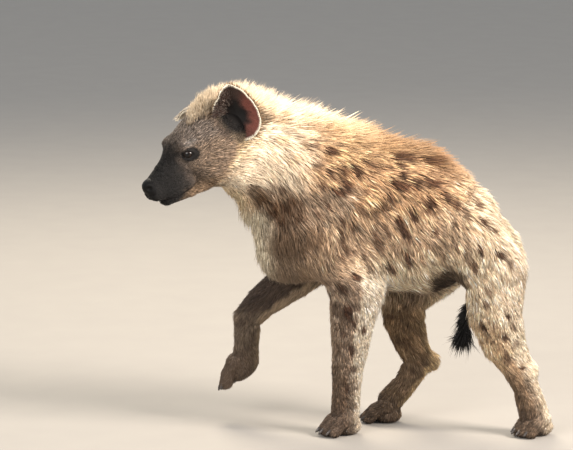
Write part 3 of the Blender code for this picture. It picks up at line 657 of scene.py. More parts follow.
# How softly the posts blend, how far up its length a lock lies at the outline, and how many points
# are worked on at a time.
POST_REACH = 0.012
TIP_SHARE = 0.80
BATCH = 20000


def coat_at(points, posts):
    """The way the hair runs, its length and its lift at points, blended from the nearest posts."""
    places = np.array([post[0] for post in posts])
    values = np.array([(*Vector(post[1]).normalized(), post[2] / 1000, post[3]) for post in posts])
    found = np.empty((len(points), 5))
    for first in range(0, len(points), BATCH):
        some = slice(first, first + BATCH)
        off = points[some, None] - places[None]
        weight = 1 / (np.sum(off**2, axis=2) + POST_REACH**2) ** 2.5
        weight /= weight.sum(axis=1, keepdims=True)
        found[some] = weight @ values
    return found[:, :3], found[:, 3], np.radians(found[:, 4])


def coat_depth(points, posts):
    """How far the skin lies inside the outline of the coat."""
    _, length, lift = coat_at(points, posts)
    return TIP_SHARE * length * np.sin(lift) + 0.0005


# The name under which a mesh carries its colours.
COLOURS = "coat_colour"


def hex_colour(text):
    """The linear value of an sRGB colour such as #b3946c."""
    values = [int(text[at : at + 2], 16) / 255 for at in (1, 3, 5)]
    return tuple(v / 12.92 if v <= 0.04045 else ((v + 0.055) / 1.055) ** 2.4 for v in values)


def plug(tree, node, links, values):
    """Gives the sockets of a node their sources and their values."""
    for name, value in (values or {}).items():
        node.inputs[name].default_value = value
    for name, source in (links or {}).items():
        tree.links.new(source, node.inputs[name])


def add_node(tree, kind, settings=None, links=None, values=None):
    """Adds a node: settings are its attributes, values its sockets, links its inputs' sources."""
    made = tree.nodes.new(kind)
    for name, value in (settings or {}).items():
        setattr(made, name, value)
    plug(tree, made, links, values)
    return made


def new_material(name, pattern, grain, **values):
    """A material with a pattern in the piece's own space, its grain given in millimetres. Returns
    the material, its tree, its shader and the pattern's node."""
    made = bpy.data.materials.new(name)
    made.use_nodes = True
    tree = made.node_tree
    place = add_node(tree, "ShaderNodeTexCoord")
    drawn = add_node(tree, pattern, None, {"Vector": place.outputs["Object"]},
                     {"Scale": 1000 / grain, **values})
    return made, tree, tree.nodes["Principled BSDF"], drawn


def own_colours(tree, shade, darkest, palest):
    """The colours that the mesh carries, from darkest to palest of their value by a shade."""
    colour = add_node(tree, "ShaderNodeVertexColor", {"layer_name": COLOURS})
    spread = add_node(tree, "ShaderNodeMapRange", None, {"Value": shade},
                      {"To Min": darkest, "To Max": palest})
    mixed = add_node(tree, "ShaderNodeMix", {"data_type": "RGBA", "blend_type": "MULTIPLY"},
                     {"A": colour.outputs["Color"], "B": spread.outputs["Result"]},
                     {"Factor": 1.0})
    return mixed.outputs["Result"]


def mesh_points(mesh, what="co"):
    """The places or the normals of a mesh's points, as rows."""
    points = np.empty(len(mesh.vertices) * 3)
    mesh.vertices.foreach_get(what, points)
    return points.reshape(-1, 3)


def set_points(mesh, points):
    """Moves the points of mesh."""
    mesh.vertices.foreach_set("co", points.astype(np.float32).ravel())
    mesh.update()


def neighbour_mean(mesh, points):
    """For each point the mean of those it shares an edge with."""
    edges = np.empty(len(mesh.edges) * 2, np.int32)
    mesh.edges.foreach_get("vertices", edges)
    first, second = edges.reshape(-1, 2).T
    count = np.bincount(edges, minlength=len(points))
    total = [
        np.bincount(first, points[second, axis], len(points))
        + np.bincount(second, points[first, axis], len(points))
        for axis in range(3)
    ]
    return np.stack(total, axis=1) / count[:, None]


def draw_onto(mesh, forms, posts, steps, details):
    """Moves the points of mesh to the skin under the coat, and evens them out on the way."""
    points = mesh_points(mesh)
    for step in range(steps):
        distance = body_distance(points, forms)
        slope = body_slope(points, forms, distance)
        steep = np.linalg.norm(slope, axis=1, keepdims=True) + 1e-6
        normal = slope / steep
        if step in (0, steps - 1):
            depth = coat_depth(points, posts)
        moved = np.abs(distance + depth) < DRAW_REACH
        points[moved] -= ((distance + depth)[:, None] * normal / np.maximum(steep, 0.5))[moved]
        if step < steps - 1:
            drift = neighbour_mean(mesh, points) - points
            drift -= np.sum(drift * normal, axis=1, keepdims=True) * normal
            points[moved] += 0.5 * drift[moved]
    if details:
        points[moved] -= (normal * relief(points)[:, None])[moved]
    set_points(mesh, points)


def object_from(name, drawn):
    """Turns a bmesh into an object."""
    mesh = bpy.data.meshes.new(name)
    drawn.to_mesh(mesh)
    drawn.free()
    return link_object(name, mesh)


def link_object(name, data):
    """Puts an object with its data into the scene."""
    made = bpy.data.objects.new(name, data)
    bpy.context.scene.collection.objects.link(made)
    return made


def apply_modifiers(thing):
    """Gives an object the mesh that its modifiers make."""
    graph = bpy.context.evaluated_depsgraph_get()
    made = bpy.data.meshes.new_from_object(thing.evaluated_get(graph))
    thing.modifiers.clear()
    thing.data = made


def divide_area(mesh, middle, reach):
    """Divides the faces round a point of the head once, and makes the rest meet them."""
    drawn = bmesh.new()
    drawn.from_mesh(mesh)
    centre = HEAD @ Vector(middle)
    near = {v for v in drawn.verts if (v.co - centre).length < reach}
    edges = [e for e in drawn.edges if e.verts[0] in near and e.verts[1] in near]
    bmesh.ops.subdivide_edges(drawn, edges=edges, cuts=1, use_grid_fill=True)
    bmesh.ops.triangulate(drawn, faces=[f for f in drawn.faces if len(f.verts) > 4])
    drawn.to_mesh(mesh)
    drawn.free()


def set_colours(mesh, colours):
    """Stores linear colours on the points of mesh."""
    layer = mesh.color_attributes.new(COLOURS, "FLOAT_COLOR", "POINT")
    full = np.ones((len(colours), 4), np.float32)
    full[:, :3] = np.clip(colours, 0, 1)
    layer.data.foreach_set("color", full.ravel())


def noise(points, size, seed):
    """Smooth value noise from 0 to 1 with lumps of a size in metres."""
    place = points / size
    cell = np.floor(place).astype(np.int64)
    part = place - cell
    part = part * part * (3 - 2 * part)
    found = np.zeros(len(points))
    for corner in range(8):
        step = np.array([corner & 1, corner >> 1 & 1, corner >> 2 & 1])
        at = cell + step
        mixed = at[:, 0] * 73856093 ^ at[:, 1] * 19349663 ^ at[:, 2] * 83492791 ^ seed * 2654435761
        mixed = (mixed ^ (mixed >> 13)) * 1274126177 & 0x7FFFFFFF
        mixed = (mixed ^ (mixed >> 16)) & 0xFFFF
        share = np.prod(np.where(step, part, 1 - part), axis=1)
        found += share * mixed / 0xFFFF
    return found


def smooth(value, low, high):
    """0 below low, 1 above high and smooth between, whichever of them is the larger."""
    share = np.clip((value - low) / (high - low), 0, 1)
    return share * share * (3 - 2 * share)


def lay(base, *layers):
    """Lays colours over base one after the other, each where its mask is 1."""
    for text, mask in layers:
        base = base + (np.array(hex_colour(text)) - base) * np.clip(mask, 0, 1)[:, None]
    return base


def plain(text, count):
    """One colour for each of count points."""
    return np.tile(np.array(hex_colour(text)), (count, 1))


# Seen square from its left, the animal is drawn at this many dots a metre. The marks of the coat are
# given in those dots, to the right and down from a point ahead of the nose and above the back.
DOTS = 465
SIDE_ACROSS = 385
SIDE_DOWN = 430
SIDE_TILT = math.radians(9)

# The spots: place across and down, length, width, slope down to the back and strength.
SPOTS = (
    (329, 153, 13, 8, 20, 0.9), (312, 147, 10, 4, 20, 0.6), (339, 147, 9, 4, 10, 0.7),
    (355, 172, 13, 8, 60, 1.0), (342, 172, 12, 7, 60, 0.8), (328, 174, 10, 6, 60, 0.8),
    (316, 166, 10, 8, 50, 0.6), (321, 185, 9, 7, 40, 0.8), (344, 186, 15, 8, 60, 0.8),
    (337, 192, 10, 8, 20, 0.9), (325, 204, 10, 7, 60, 0.9), (316, 213, 7, 4, 60, 0.8),
    (341, 220, 10, 5, 60, 0.8), (352, 225, 11, 7, 50, 0.6), (339, 231, 8, 4, 60, 0.8),
    (356, 205, 13, 7, 50, 0.5), (362, 212, 7, 5, 50, 0.7), (365, 192, 9, 6, 40, 0.7),
    (358, 160, 8, 4, 40, 0.6), (368, 166, 10, 6, 40, 0.7), (387, 169, 10, 8, 50, 0.7),
    (402, 160, 24, 8, 4, 1.0), (398, 168, 11, 7, 50, 0.8), (402, 178, 13, 6, 70, 0.9),
    (394, 186, 11, 7, 60, 1.0), (403, 187, 10, 8, 50, 0.9), (413, 185, 11, 8, 50, 0.9),
    (425, 183, 12, 8, 40, 0.9), (431, 164, 21, 8, 5, 1.0), (389, 199, 13, 6, 60, 0.8),
    (382, 207, 13, 9, 60, 0.7), (374, 214, 10, 8, 50, 0.5), (426, 205, 16, 11, 50, 1.0),
    (411, 215, 12, 8, 60, 1.0), (398, 223, 17, 8, 65, 1.0), (403, 233, 13, 8, 60, 0.9),
    (376, 240, 22, 8, 65, 0.7), (383, 228, 12, 5, 60, 0.7), (343, 245, 16, 5, 65, 0.7),
    (340, 256, 7, 5, 60, 0.7), (362, 256, 10, 7, 55, 0.6), (406, 257, 18, 6, 75, 0.9),
    (388, 265, 14, 7, 40, 0.9), (367, 268, 11, 8, 50, 0.5), (352, 250, 10, 7, 60, 0.4),
    (433, 184, 11, 8, 50, 0.9), (443, 197, 15, 6, 50, 0.9), (453, 205, 13, 7, 55, 0.9),
    (465, 196, 9, 6, 50, 0.7), (475, 204, 13, 6, 50, 0.8), (464, 215, 14, 6, 60, 0.6),
    (481, 223, 9, 5, 55, 0.9), (453, 225, 9, 5, 60, 0.6), (433, 231, 11, 5, 60, 0.8),
    (491, 231, 8, 6, 50, 0.7), (462, 227, 7, 5, 60, 0.5), (465, 243, 15, 5, 80, 0.4),
    (477, 249, 13, 5, 70, 0.9), (466, 257, 15, 5, 80, 0.5), (472, 266, 14, 6, 75, 0.8),
    (441, 254, 11, 4, 80, 0.5), (454, 246, 9, 4, 80, 0.5), (420, 257, 10, 4, 75, 0.6),
    (496, 255, 10, 7, 40, 0.9), (506, 263, 10, 6, 40, 0.6), (505, 315, 6, 4, 30, 1.0),
    (510, 326, 9, 5, 60, 0.6), (482, 325, 10, 5, 60, 0.9), (503, 336, 8, 6, 45, 0.8),
    (513, 342, 8, 6, 50, 0.5), (506, 356, 11, 6, 60, 0.6), (520, 367, 9, 4, 10, 0.9),
    (484, 303, 9, 6, 50, 0.7), (486, 290, 8, 6, 50, 0.6), (355, 276, 10, 6, 10, 1.0),
    (347, 311, 13, 7, 75, 0.9), (353, 322, 9, 5, 70, 0.8), (362, 329, 6, 5, 70, 1.0),
    (351, 349, 13, 5, 85, 0.8), (353, 368, 8, 6, 80, 0.7), (341, 286, 9, 6, 40, 0.7),
    (344, 333, 8, 5, 80, 0.6), (347, 388, 9, 5, 80, 0.6),
)


# The loose hair under the neck: its middle, and how far it goes each way.
THROAT_AT = (0.01, -0.322, 0.505)
THROAT_SIZE = (0.07, 0.045, 0.045)


def side_view(points):
    """Where points are in dots, seen square from their own side."""
    across = SIDE_ACROSS + DOTS * points[:, 1]
    rise = points[:, 2] * math.cos(SIDE_TILT) - np.abs(points[:, 0]) * math.sin(SIDE_TILT)
    return across, SIDE_DOWN - DOTS * rise


def patch(across, down, middle, size, rough, slope=0.0):
    """1 in a ragged oval round a place of the side view, 0 away from it."""
    turn = math.radians(slope)
    right, below = across - middle[0], down - middle[1]
    along = (right * math.cos(turn) + below * math.sin(turn)) / size[0]
    beside = (below * math.cos(turn) - right * math.sin(turn)) / size[1]
    return smooth(np.hypot(along, beside) + rough, 1.2, 0.75)


def spot_mask(points):
    """How strongly a spot darkens each point."""
    across, down = side_view(points)
    across = across + np.where(points[:, 0] < 0, 9 * np.sin(down / 23) + 6, 0)
    ragged = 0.7 * (noise(points, 0.006, 3) - 0.5) + 0.3 * (noise(points, 0.015, 4) - 0.5)
    found = np.zeros(len(points))
    for right, below, long, wide, slope, strength in SPOTS:
        near = (np.abs(across - right) < long) & (np.abs(down - below) < long)
        if near.any():
            size = (long * 0.56, wide * 0.58)
            mask = patch(across[near], down[near], (right, below), size, ragged[near], slope)
            found[near] = np.maximum(found[near], min(1.0, strength + 0.12) * mask)
    return found


def leg_line(leg, height, column):
    """A column of a leg's sections at each height."""
    table = np.array([section[:4] for section in LEGS[leg]])
    table = table[np.argsort(table[:, 2])]
    return np.interp(height, table[:, 2], table[:, column])


def leg_share(points, leg):
    """How far behind (+) or ahead (-) of the leg's line each point is, in its radii."""
    height = points[:, 2]
    return (points[:, 1] - leg_line(leg, height, 1)) / leg_line(leg, height, 3)


def leg_masks(points):
    """For each leg, 1 on it below the trunk."""
    found = {}
    for leg, chain in LEGS.items():
        near = Chain(chain[2:], 0).distance(points)
        paw = Ball(PAWS[leg][0], (0.07, 0.09, 0.09), 0).distance(points)
        near = np.minimum(near, paw)
        top = chain[2][2]
        found[leg] = smooth(near, 0.03, 0.005) * smooth(points[:, 2], top + 0.02, top - 0.05)
    return found


def body_colours(points):
    """The ground colour of trunk, neck and legs."""
    across, down = side_view(points)
    beside, height = np.abs(points[:, 0]), points[:, 2]
    wave = 0.5 * (noise(points, 0.03, 7) - 0.5) + 0.3 * (noise(points, 0.010, 8) - 0.5)
    shifted, below = across + 25 * wave, down + 20 * wave
    ragged = 0.9 * wave
    tawny = 0.45 * smooth(noise(points, 0.016, 12), 0.55, 0.8)
    mixed = 0.66 + 0.34 * smooth(noise(points, 0.009, 14), 0.62, 0.38)
    clumped = 0.50 * smooth(noise(points, 0.012, 15), 0.45, 0.70)
    ridge = smooth(beside, 0.060, 0.020) * smooth(height, 0.52, 0.58)
    return lay(
        plain("#c5a17c", len(points)),
        # The flank, the belly, the rump and the back.
        ("#b89d82", smooth(below, 195, 235) * smooth(shifted, 490, 455)),
        # The lower flank's own pale hair, made paler still as painted light against the shade under
        # the belly.
        ("#ecd4b4", smooth(below, 244, 274) * smooth(shifted, 340, 390)),
        ("#f0d6b6", smooth(shifted, 435, 490)),
        # Paler still at the back of the thigh: painted sunlight.
        ("#f8e0c4", smooth(shifted, 482, 512) * smooth(down, 215, 250)),
        ("#d9b588", smooth(below, 178, 150) * smooth(shifted, 320, 345)
         * smooth(shifted, 450, 420)),
        # The neck, the shoulder and the chest.
        ("#efdcc2", smooth(shifted, 328, 290) * smooth(below, 212, 180)),
        ("#d0a877", tawny * smooth(across, 350, 300) * smooth(down, 190, 160)),
        # The grey patch on the shoulder and the brown-grey of the chest front are painted shade.
        ("#a08a74", patch(across, down, (316, 212), (22, 40), wave, 70)),
        ("#9a8570", smooth(across, 312, 290) * smooth(below, 205, 235)),
        ("#e2d4bb", smooth(across + 12 * wave, 282, 262) * smooth(down, 200, 216)),
        ("#d9c4a0", 0.85 * throat(points)),
        ("#573e2b", mixed * patch(across, down, (282, 205), (26, 19), ragged, 35)),
        ("#5d4631", 0.8 * patch(across, down, (258, 193), (13, 7), ragged, 35)),
        ("#77604b", 0.8 * patch(across, down, (300, 240), (15, 30), ragged, 80)),
        # Painted shade under the belly between the legs, and painted shadow in the groin of the left
        # side.
        ("#6b5849", smooth(height, 0.325, 0.295) * smooth(across, 300, 330)
         * smooth(beside, 0.07, 0.03)),
        ("#31241a", 0.93 * patch(across, down, (447, 284), (20, 15), wave)
         * smooth(points[:, 0], -0.03, 0.0)),
        # Along the top: pale over the shoulders, brown over the loins.
        ("#ecdabc", 0.9 * ridge * smooth(across, 400, 330)),
        ("#8b7056", 0.85 * ridge * smooth(across, 340, 400) * smooth(across, 475, 445)),
        ("#6b4d38", clumped * smooth(below, 215, 175) * smooth(across, 320, 355)
         * smooth(across, 475, 440)),
    )


# For each leg: its ground, its blotches and their strength, its paler back and the share of the leg's
# depth where that begins, and the colour just above the paw. The paler back is painted sunlight, and
# the right legs' tones are darker with painted shade.
LEG_TONES = {
    "front_left": ("#a48f7b", "#685546", 0.75, "#f8e6cd", -0.05, "#665241"),
    "front_right": ("#80705f", "#5c4d41", 0.75, "#a8937a", 0.45, "#7d6955"),
    "hind_left": ("#e4c39e", "#7a5f49", 0.45, "#f8e3c6", -0.12, "#665241"),
    "hind_right": ("#947a5d", "#5f4a37", 0.75, "#c2a780", 0.50, "#7d6955"),
}


def leg_colours(points, base):
    """Smoke-brown legs, darker in front and paler behind with painted sunlight, with blurred blotches
    and dark feet. The right legs and the top of the lifted right foreleg carry painted shade.
    """
    height = points[:, 2]
    blotch = smooth(noise(points, 0.017, 21) + 0.3 * noise(points, 0.007, 22), 0.72, 0.90)
    for leg, mask in leg_masks(points).items():
        ground, dark, strength, pale, edge, low = LEG_TONES[leg]
        share = leg_share(points, leg) + 0.5 * (noise(points, 0.008, 23) - 0.5)
        # Painted shade on the upper part of the lifted right foreleg.
        lifted_leg_shade = smooth(height, 0.22, 0.27) if leg == "front_right" else 0 * share
        shin = 0 if leg == "hind_left" else 0.3
        coloured = lay(
            plain(ground, len(points)),
            (dark, strength * blotch),
            ("#4a3d34", lifted_leg_shade),
            (dark, shin * patch(share, share * 0, (0.0, 0), (0.35, 1), 0.0)),
            (pale, smooth(share, edge, edge + 0.5)),
            (low, 0.8 * smooth(height, 0.18, 0.11) * smooth(share, 0.8, 0.45)),
        )
        base = base + (coloured - base) * mask[:, None]
    for at, _, _, _ in PAWS.values():
        near = np.linalg.norm(points - np.array(at) - np.array((0, -0.03, 0.01)), axis=1)
        base = lay(base, ("#6a5a4e", 0.65 * smooth(near, 0.075, 0.040)))
    return lay(base, ("#352b26", 0.7 * smooth(height, 0.010, 0.003)))


def head_colours(points, base):
    """A dark muzzle and eye patch, a grey-brown brow and cheek, darkened a little with painted shade,
    and a pale neck behind.
    """
    side, forward, height = on_face(points)
    wave = noise(points, 0.012, 31) - 0.5
    fine = noise(points, 0.004, 32) - 0.5
    pale = smooth(noise(points, 0.011, 33), 0.65, 0.40)
    ahead = forward + 0.02 * wave + 0.006 * fine
    snout = ahead + 0.2 * height
    # The line where the grey-brown of the face ends: it runs forward under the cheek.
    edge = 0.010 + 0.9 * np.maximum(0, -0.035 - height) + 0.55 * np.maximum(0, height - 0.03)
    behind = ahead - edge
    throat_up = smooth(height, -0.12, -0.06)
    near_ear = ear_share(points)
    lids = from_eye(side, forward, height) + 0.002 * wave
    brow = np.hypot(0.40 * (forward + EYE_AT.y + 0.008), height - EYE_AT.z - 0.0215)
    line = np.abs(height - mouth_height(forward))
    return lay(
        base,
        ("#d2b791", smooth(behind, -0.075, -0.030) * throat_up),
        ("#e3cca5", pale * smooth(behind, -0.060, -0.020) * throat_up),
        # The grey-brown of the face is its own colour, darkened a little with painted shade.
        ("#a89078", smooth(behind, -0.016, 0.000)),
        ("#82705f", smooth(behind, -0.006, 0.012)),
        ("#71675f", 0.85 * smooth(height, -0.010, 0.015) * smooth(behind, 0.0, 0.02)),
        ("#a89a89", 0.8 * smooth(height, 0.034, 0.054) * smooth(ahead, 0.07, 0.03)),
        ("#483d36", 0.8 * smooth(near_ear, 1.32, 1.06)),
        ("#15100d", smooth(near_ear, 1.02, 0.62)),
        ("#534941", smooth(ahead, 0.078, 0.112)),
        ("#221f1d", smooth(snout, 0.100, 0.126)),
        ("#100e0d", smooth(snout, 0.124, 0.150)),
        ("#8d765e", 0.8 * smooth(height, -0.066, -0.086) * smooth(ahead, 0.150, 0.115)),
        ("#191716", smooth(ahead, 0.174, 0.186)),
        ("#120f0e", 0.97 * smooth(lids, 0.0165, 0.0125)),
        ("#8f8983", 0.45 * smooth(brow + 0.004 * fine, 0.0085, 0.0035)
         * smooth(side, 0.015, 0.025)),
        ("#171312", 0.9 * smooth(line, 0.0065, 0.003) * smooth(ahead, 0.100, 0.112)),
    )


def from_eye(side, forward, height):
    """Distance from the middle of the lids, in an oval that is wider than high."""
    return np.sqrt((0.4 * (side - EYE_AT.x - 0.8 * EYE_RADIUS)) ** 2
                   + ((forward + EYE_AT.y - 0.001) / 1.28) ** 2 + (height - EYE_AT.z) ** 2)


def throat(points):
    """1 on the loose hair under the neck."""
    off = (points - np.array(THROAT_AT)) / np.array(THROAT_SIZE)
    return smooth(np.linalg.norm(off, axis=1), 1.2, 0.6)


def clumps(points):
    """Locks of the coat that are lighter or darker, longer than wide, down and to the back."""
    slope = np.array((0, 0.64, -0.77))
    squeezed = points - 0.72 * slope * (points @ slope)[:, None]
    found = noise(squeezed, 0.0065, 71) + 0.5 * noise(squeezed, 0.013, 72) - 0.75
    _, forward, _ = on_face(points)
    face = 0.8 * (noise(points, 0.0042, 73) - 0.5) * smooth(forward, 0.15, 0.11)
    trunk = smooth(forward, 0.06, -0.02)
    return np.exp(0.85 * found * trunk + face * (1 - trunk))[:, None]


def ear_share(points):
    """How far points are from the middle of the nearer ear's cup, as a share of its rim's reach,
    seen along its opening. 9 where they are nowhere near its sheet."""
    found = np.full(len(points), 9.0)
    for side in (1, -1):
        local = into(ear_frame(side), points)
        off = local[:, 1:] - np.array(EAR_MIDDLE)
        turn = np.degrees(np.arctan2(off[:, 1], off[:, 0]))
        share = np.linalg.norm(off, axis=1) / ear_reach(turn)
        behind = smooth(np.cos(np.radians(turn - 215)), 0.45, 0.10)
        share = share + 0.6 * behind * smooth(share, 0.90, 1.00)
        depth = side * local[:, 0]
        found = np.where((depth > -0.055) & (depth < 0.030), np.minimum(found, share), found)
    return found


def markings(points):
    """The colour of the coat, also of the skin below it, at points."""
    base = leg_colours(points, body_colours(points))
    base = lay(base, ("#4a3021", 0.95 * spot_mask(points)))
    head = smooth(into(NAPE, points)[:, 1], 0.02, -0.02)
    base = base + (head_colours(points, base) - base) * head[:, None]
    tail = Chain(TAIL, 0).distance(points)
    brush = Chain(BRUSH, 0).distance(points)
    return lay(
        base,
        ("#f2dcbc", smooth(tail, 0.012, 0.004) * smooth(points[:, 1], 0.22, 0.24)),
        ("#0f0d0c", smooth(brush, 0.03, 0.006) * smooth(points[:, 2], *BRUSH_START)),
    )


def streak_strength(points):
    """How unlike neighbouring tufts are: most on the flank, least on the muzzle."""
    across, down = side_view(points)
    found = 0.26 + 0.22 * smooth(across, 290, 345) * smooth(down, 140, 165)
    found -= 0.08 * smooth(across, 480, 510)
    found -= 0.08 * smooth(across, 330, 300) * smooth(down, 195, 170)
    _, forward, _ = on_face(points)
    face = 0.16 + 0.28 * smooth(forward, 0.140, 0.09)
    return np.where(into(NAPE, points)[:, 1] < 0, face, found)


# The rings of a short and of a long tuft, each its share of the length and of the width, how thick a
# tuft is for its width, the lowest that hair reaches, and how much of the unwrap one tuft takes.
SHORT_TUFT = ((0.40, 1.0),)
LONG_TUFT = ((0.24, 1.0), (0.62, 0.74))
TUFT_THICKNESS = 0.30
LOWEST_HAIR = 0.0006
UV_PATCH = 0.003


def tuft_mesh(name, tufts, rings):
    """One mesh of closed tufts: from a point at the root through rings of three to a point at the
    tip. tufts is a dict of arrays: root, start, end, side, length, width, base and tip colour, and
    uv."""
    root, length = tufts["root"], tufts["length"][:, None]
    count, last = len(root), len(rings) * 3 - 3
    each = last + 5
    points = np.empty((count, each, 3))
    colours = np.empty((count, each, 3))
    marks = np.empty((each, 2))
    side, width = tufts["side"], tufts["width"][:, None]
    for number, (share, wide) in enumerate(rings):
        turned = tufts["start"] * (1 - share) + tufts["end"] * share
        centre = root + length * (tufts["start"] * (share - share**2 / 2)
                                  + tufts["end"] * share**2 / 2)
        upward = unit(np.cross(side, turned))
        half = side * (0.5 * wide * width)
        high = upward * (TUFT_THICKNESS * wide * width)
        at = 1 + number * 3
        points[:, at] = centre - half
        points[:, at + 1] = centre + half
        points[:, at + 2] = centre + high
        colours[:, at : at + 3] = (tufts["base"] * (1 - share) + tufts["tip"] * share)[:, None]
        marks[at : at + 3] = ((share, 0), (share, 1), (share, 0.5))
    points[:, 0], points[:, -1] = root, root + length * (tufts["start"] + tufts["end"]) / 2
    colours[:, 0], colours[:, -1] = tufts["base"], tufts["tip"]
    marks[0], marks[-1] = (0, 0.5), (1, 0.5)
    points[:, :, 2] = np.maximum(points[:, :, 2], LOWEST_HAIR - SHIFT[2])
    corners, sizes = [], []
    for first, second in ((1, 2), (2, 3), (3, 1)):
        corners += [first, second, 0]
        sizes.append(3)
        for low in range(0, last, 3):
            corners += [low + 3 + first, low + 3 + second, low + second, low + first]
            sizes.append(4)
        corners += [each - 1, last + second, last + first]
        sizes.append(3)
    all_corners = (np.arange(count)[:, None] * each + np.array(corners)).ravel()
    mesh = bpy.data.meshes.new(name)
    mesh.vertices.add(count * each)
    mesh.loops.add(len(all_corners))
    mesh.polygons.add(count * len(sizes))
    mesh.vertices.foreach_set("co", (points.reshape(-1, 3) + SHIFT).astype(np.float32).ravel())
    mesh.loops.foreach_set("vertex_index", all_corners.astype(np.int32))
    all_sizes = np.tile(sizes, count)
    starts = np.cumsum(all_sizes) - all_sizes
    mesh.polygons.foreach_set("loop_start", starts.astype(np.int32))
    mesh.update(calc_edges=True)
    mesh.shade_smooth()
    set_colours(mesh, colours.reshape(-1, 3))
    layer = mesh.uv_layers.new(name="OFBake")
    place = (tufts["uv"][:, None] + UV_PATCH * (marks - 0.5)[None]).reshape(-1, 2)
    layer.data.foreach_set("uv", place[all_corners].astype(np.float32).ravel())
    return mesh


def inset(share):
    """A place of the unwrap, from 0 to 1, kept clear of its edges by more than half a tuft."""
    return 0.03 + 0.94 * share


def unwrap(points, middle, axis, low, high):
    """A cylinder's unwrap of the skin: turn round an axis and place along it, both 0 to 1."""
    axis = np.array(Vector(axis).normalized())
    across = np.cross(axis, (1.0, 0, 0) if abs(axis[0]) < 0.5 else (0, 1.0, 0))
    across /= np.linalg.norm(across)
    upward = np.cross(across, axis)
    off = points - np.array(middle)
    turn = np.arctan2(off @ across, off @ upward) / (2 * math.pi) + 0.5
    along = (off @ axis - low) / (high - low)
    return np.stack([inset(turn), inset(np.clip(along, 0, 1))], axis=1)


class Skin:
    """The finished skin as arrays: its triangles' corners, normals, area and middle."""

    def __init__(self, thing):
        mesh = thing.data
        mesh.calc_loop_triangles()
        corners = np.empty(len(mesh.loop_triangles) * 3, np.int32)
        mesh.loop_triangles.foreach_get("vertices", corners)
        self.corners = corners.reshape(-1, 3)
        self.points = mesh_points(mesh) - SHIFT
        self.normals = mesh_points(mesh, "normal")
        a, b, c = (self.points[self.corners[:, k]] for k in range(3))
        self.area = np.linalg.norm(np.cross(b - a, c - a), axis=1) / 2
        self.middle = (a + b + c) / 3

    def scatter(self, weight, count, chance):
        """Places and normals at random, weighted, for each unit of area."""
        total = np.cumsum(weight * self.area)
        picked = np.searchsorted(total, chance.random(count) * total[-1])
        picked = np.minimum(picked, len(total) - 1)
        first, second = chance.random((2, count, 1))
        flip = first + second > 1
        first, second = np.where(flip, 1 - first, first), np.where(flip, 1 - second, second)
        corners = self.corners[picked]
        shares = (1 - first - second, first, second)
        place = sum(s * self.points[corners[:, k]] for k, s in enumerate(shares))
        normal = sum(s * self.normals[corners[:, k]] for k, s in enumerate(shares))
        return place, unit(normal)


def bare(points):
    """1 where no hair grows: nose leather, the lids' opening, the mouth's line and the soles."""
    side, forward, height = on_face(points)
    lids = smooth(from_eye(side, forward, height), 0.0118, 0.0104)
    line = np.abs(height - mouth_height(forward))
    lips = smooth(line, 0.0035, 0.0020) * smooth(forward, 0.103, 0.108) * (forward < 0.2)
    near = np.hypot(np.hypot(side, forward), height) < 0.24
    cup = smooth(ear_share(points), 0.50, 0.42)
    nose = leather(side, forward, height)
    found = np.where(near, np.maximum.reduce((nose, lids, lips, cup)), 0)
    return np.maximum(found, smooth(points[:, 2], 0.004, 0.001))


def leather(side, forward, height):
    """1 on the leather of the nose, which wraps back round the nostrils."""
    reach = forward + 0.25 * (height + 0.04) - 0.15 * np.maximum(0, side - 0.012)
    return smooth(reach, 0.1850, 0.1870) * smooth(height, -0.058, -0.055) * (forward < 0.25)


def coverage(length):
    """How many layers of tufts lie over each other: few on the face, many on the body."""
    return 3.2 + 4.4 * smooth(length, 0.010, 0.026)


PIECES = ("head", "neck", "flank_left", "flank_right", "hip_left", "hip_right", "tail", *LEGS)


# Where along the trunk its hips begin.
HIP_START = 0.02


def piece_of(points):
    """The name of the coat piece that each root belongs to."""
    side = np.where(points[:, 0] < 0, "right", "left")
    found = np.char.add(np.where(points[:, 1] < HIP_START, "flank_", "hip_"), side)
    on_leg = np.zeros(len(points), bool)
    for leg, mask in leg_masks(points).items():
        found = np.where(mask > 0.5, leg, found)
        on_leg |= mask > 0.5
    found = np.where((into(SHOULDER, points)[:, 1] < 0) & ~on_leg, "neck", found)
    found = np.where(into(NAPE, points)[:, 1] < 0, "head", found)
    return np.where(Chain(TAIL, 0).distance(points) < 0, "tail", found)


# Each piece's unwrap: a point on its axis, the axis, and how far it runs along it.
UNWRAPS = {
    "head": (HEAD @ Vector((0, 0, -0.03)), HEAD.to_3x3() @ Vector((0, 1, 0)), -0.22, 0.10),
    "neck": ((0.01, -0.25, 0.57), (0, 0.83, -0.55), -0.16, 0.20),
    "flank_left": ((0, 0, 0.46), (0, 1, 0), -0.32, 0.04),
    "flank_right": ((0, 0, 0.46), (0, 1, 0), -0.32, 0.04),
    "hip_left": ((0, 0, 0.42), (0, 1, 0), 0.0, 0.32),
    "hip_right": ((0, 0, 0.42), (0, 1, 0), 0.0, 0.32),
    "tail": ((0, 0.23, 0.32), (0, -0.3, -1), -0.18, 0.15),
}


def piece_uv(name, points):
    """Where a coat piece's tufts lie in its unwrap."""
    if name in UNWRAPS:
        return unwrap(points, *UNWRAPS[name])
    line = leg_line(name, points[:, 2], 1)
    middle = np.stack([np.full(len(points), LEGS[name][-1][0]), line, 0 * line], axis=1)
    return unwrap(points - middle, (0, 0, 0), (0, 0, 1), 0.0, 0.42)


# A tuft stands off the skin by these shares of its place's lift at its root and at its tip. It is set
# into the skin by a share of its length, and takes its colour from below a place farther along it.
ROOT_LIFT = 1.7
TIP_LIFT = 0.35
ROOT_DEPTH = 0.06
COLOUR_AT = 0.42

# How unlike the tufts of one place are in their turn, lift, roll, length and width.
TURN_SPREAD = 0.09
LIFT_SPREAD = 0.22
ROLL_SPREAD = 0.45
LENGTH_SPREAD = 0.14
WIDTH_SPREAD = 0.18


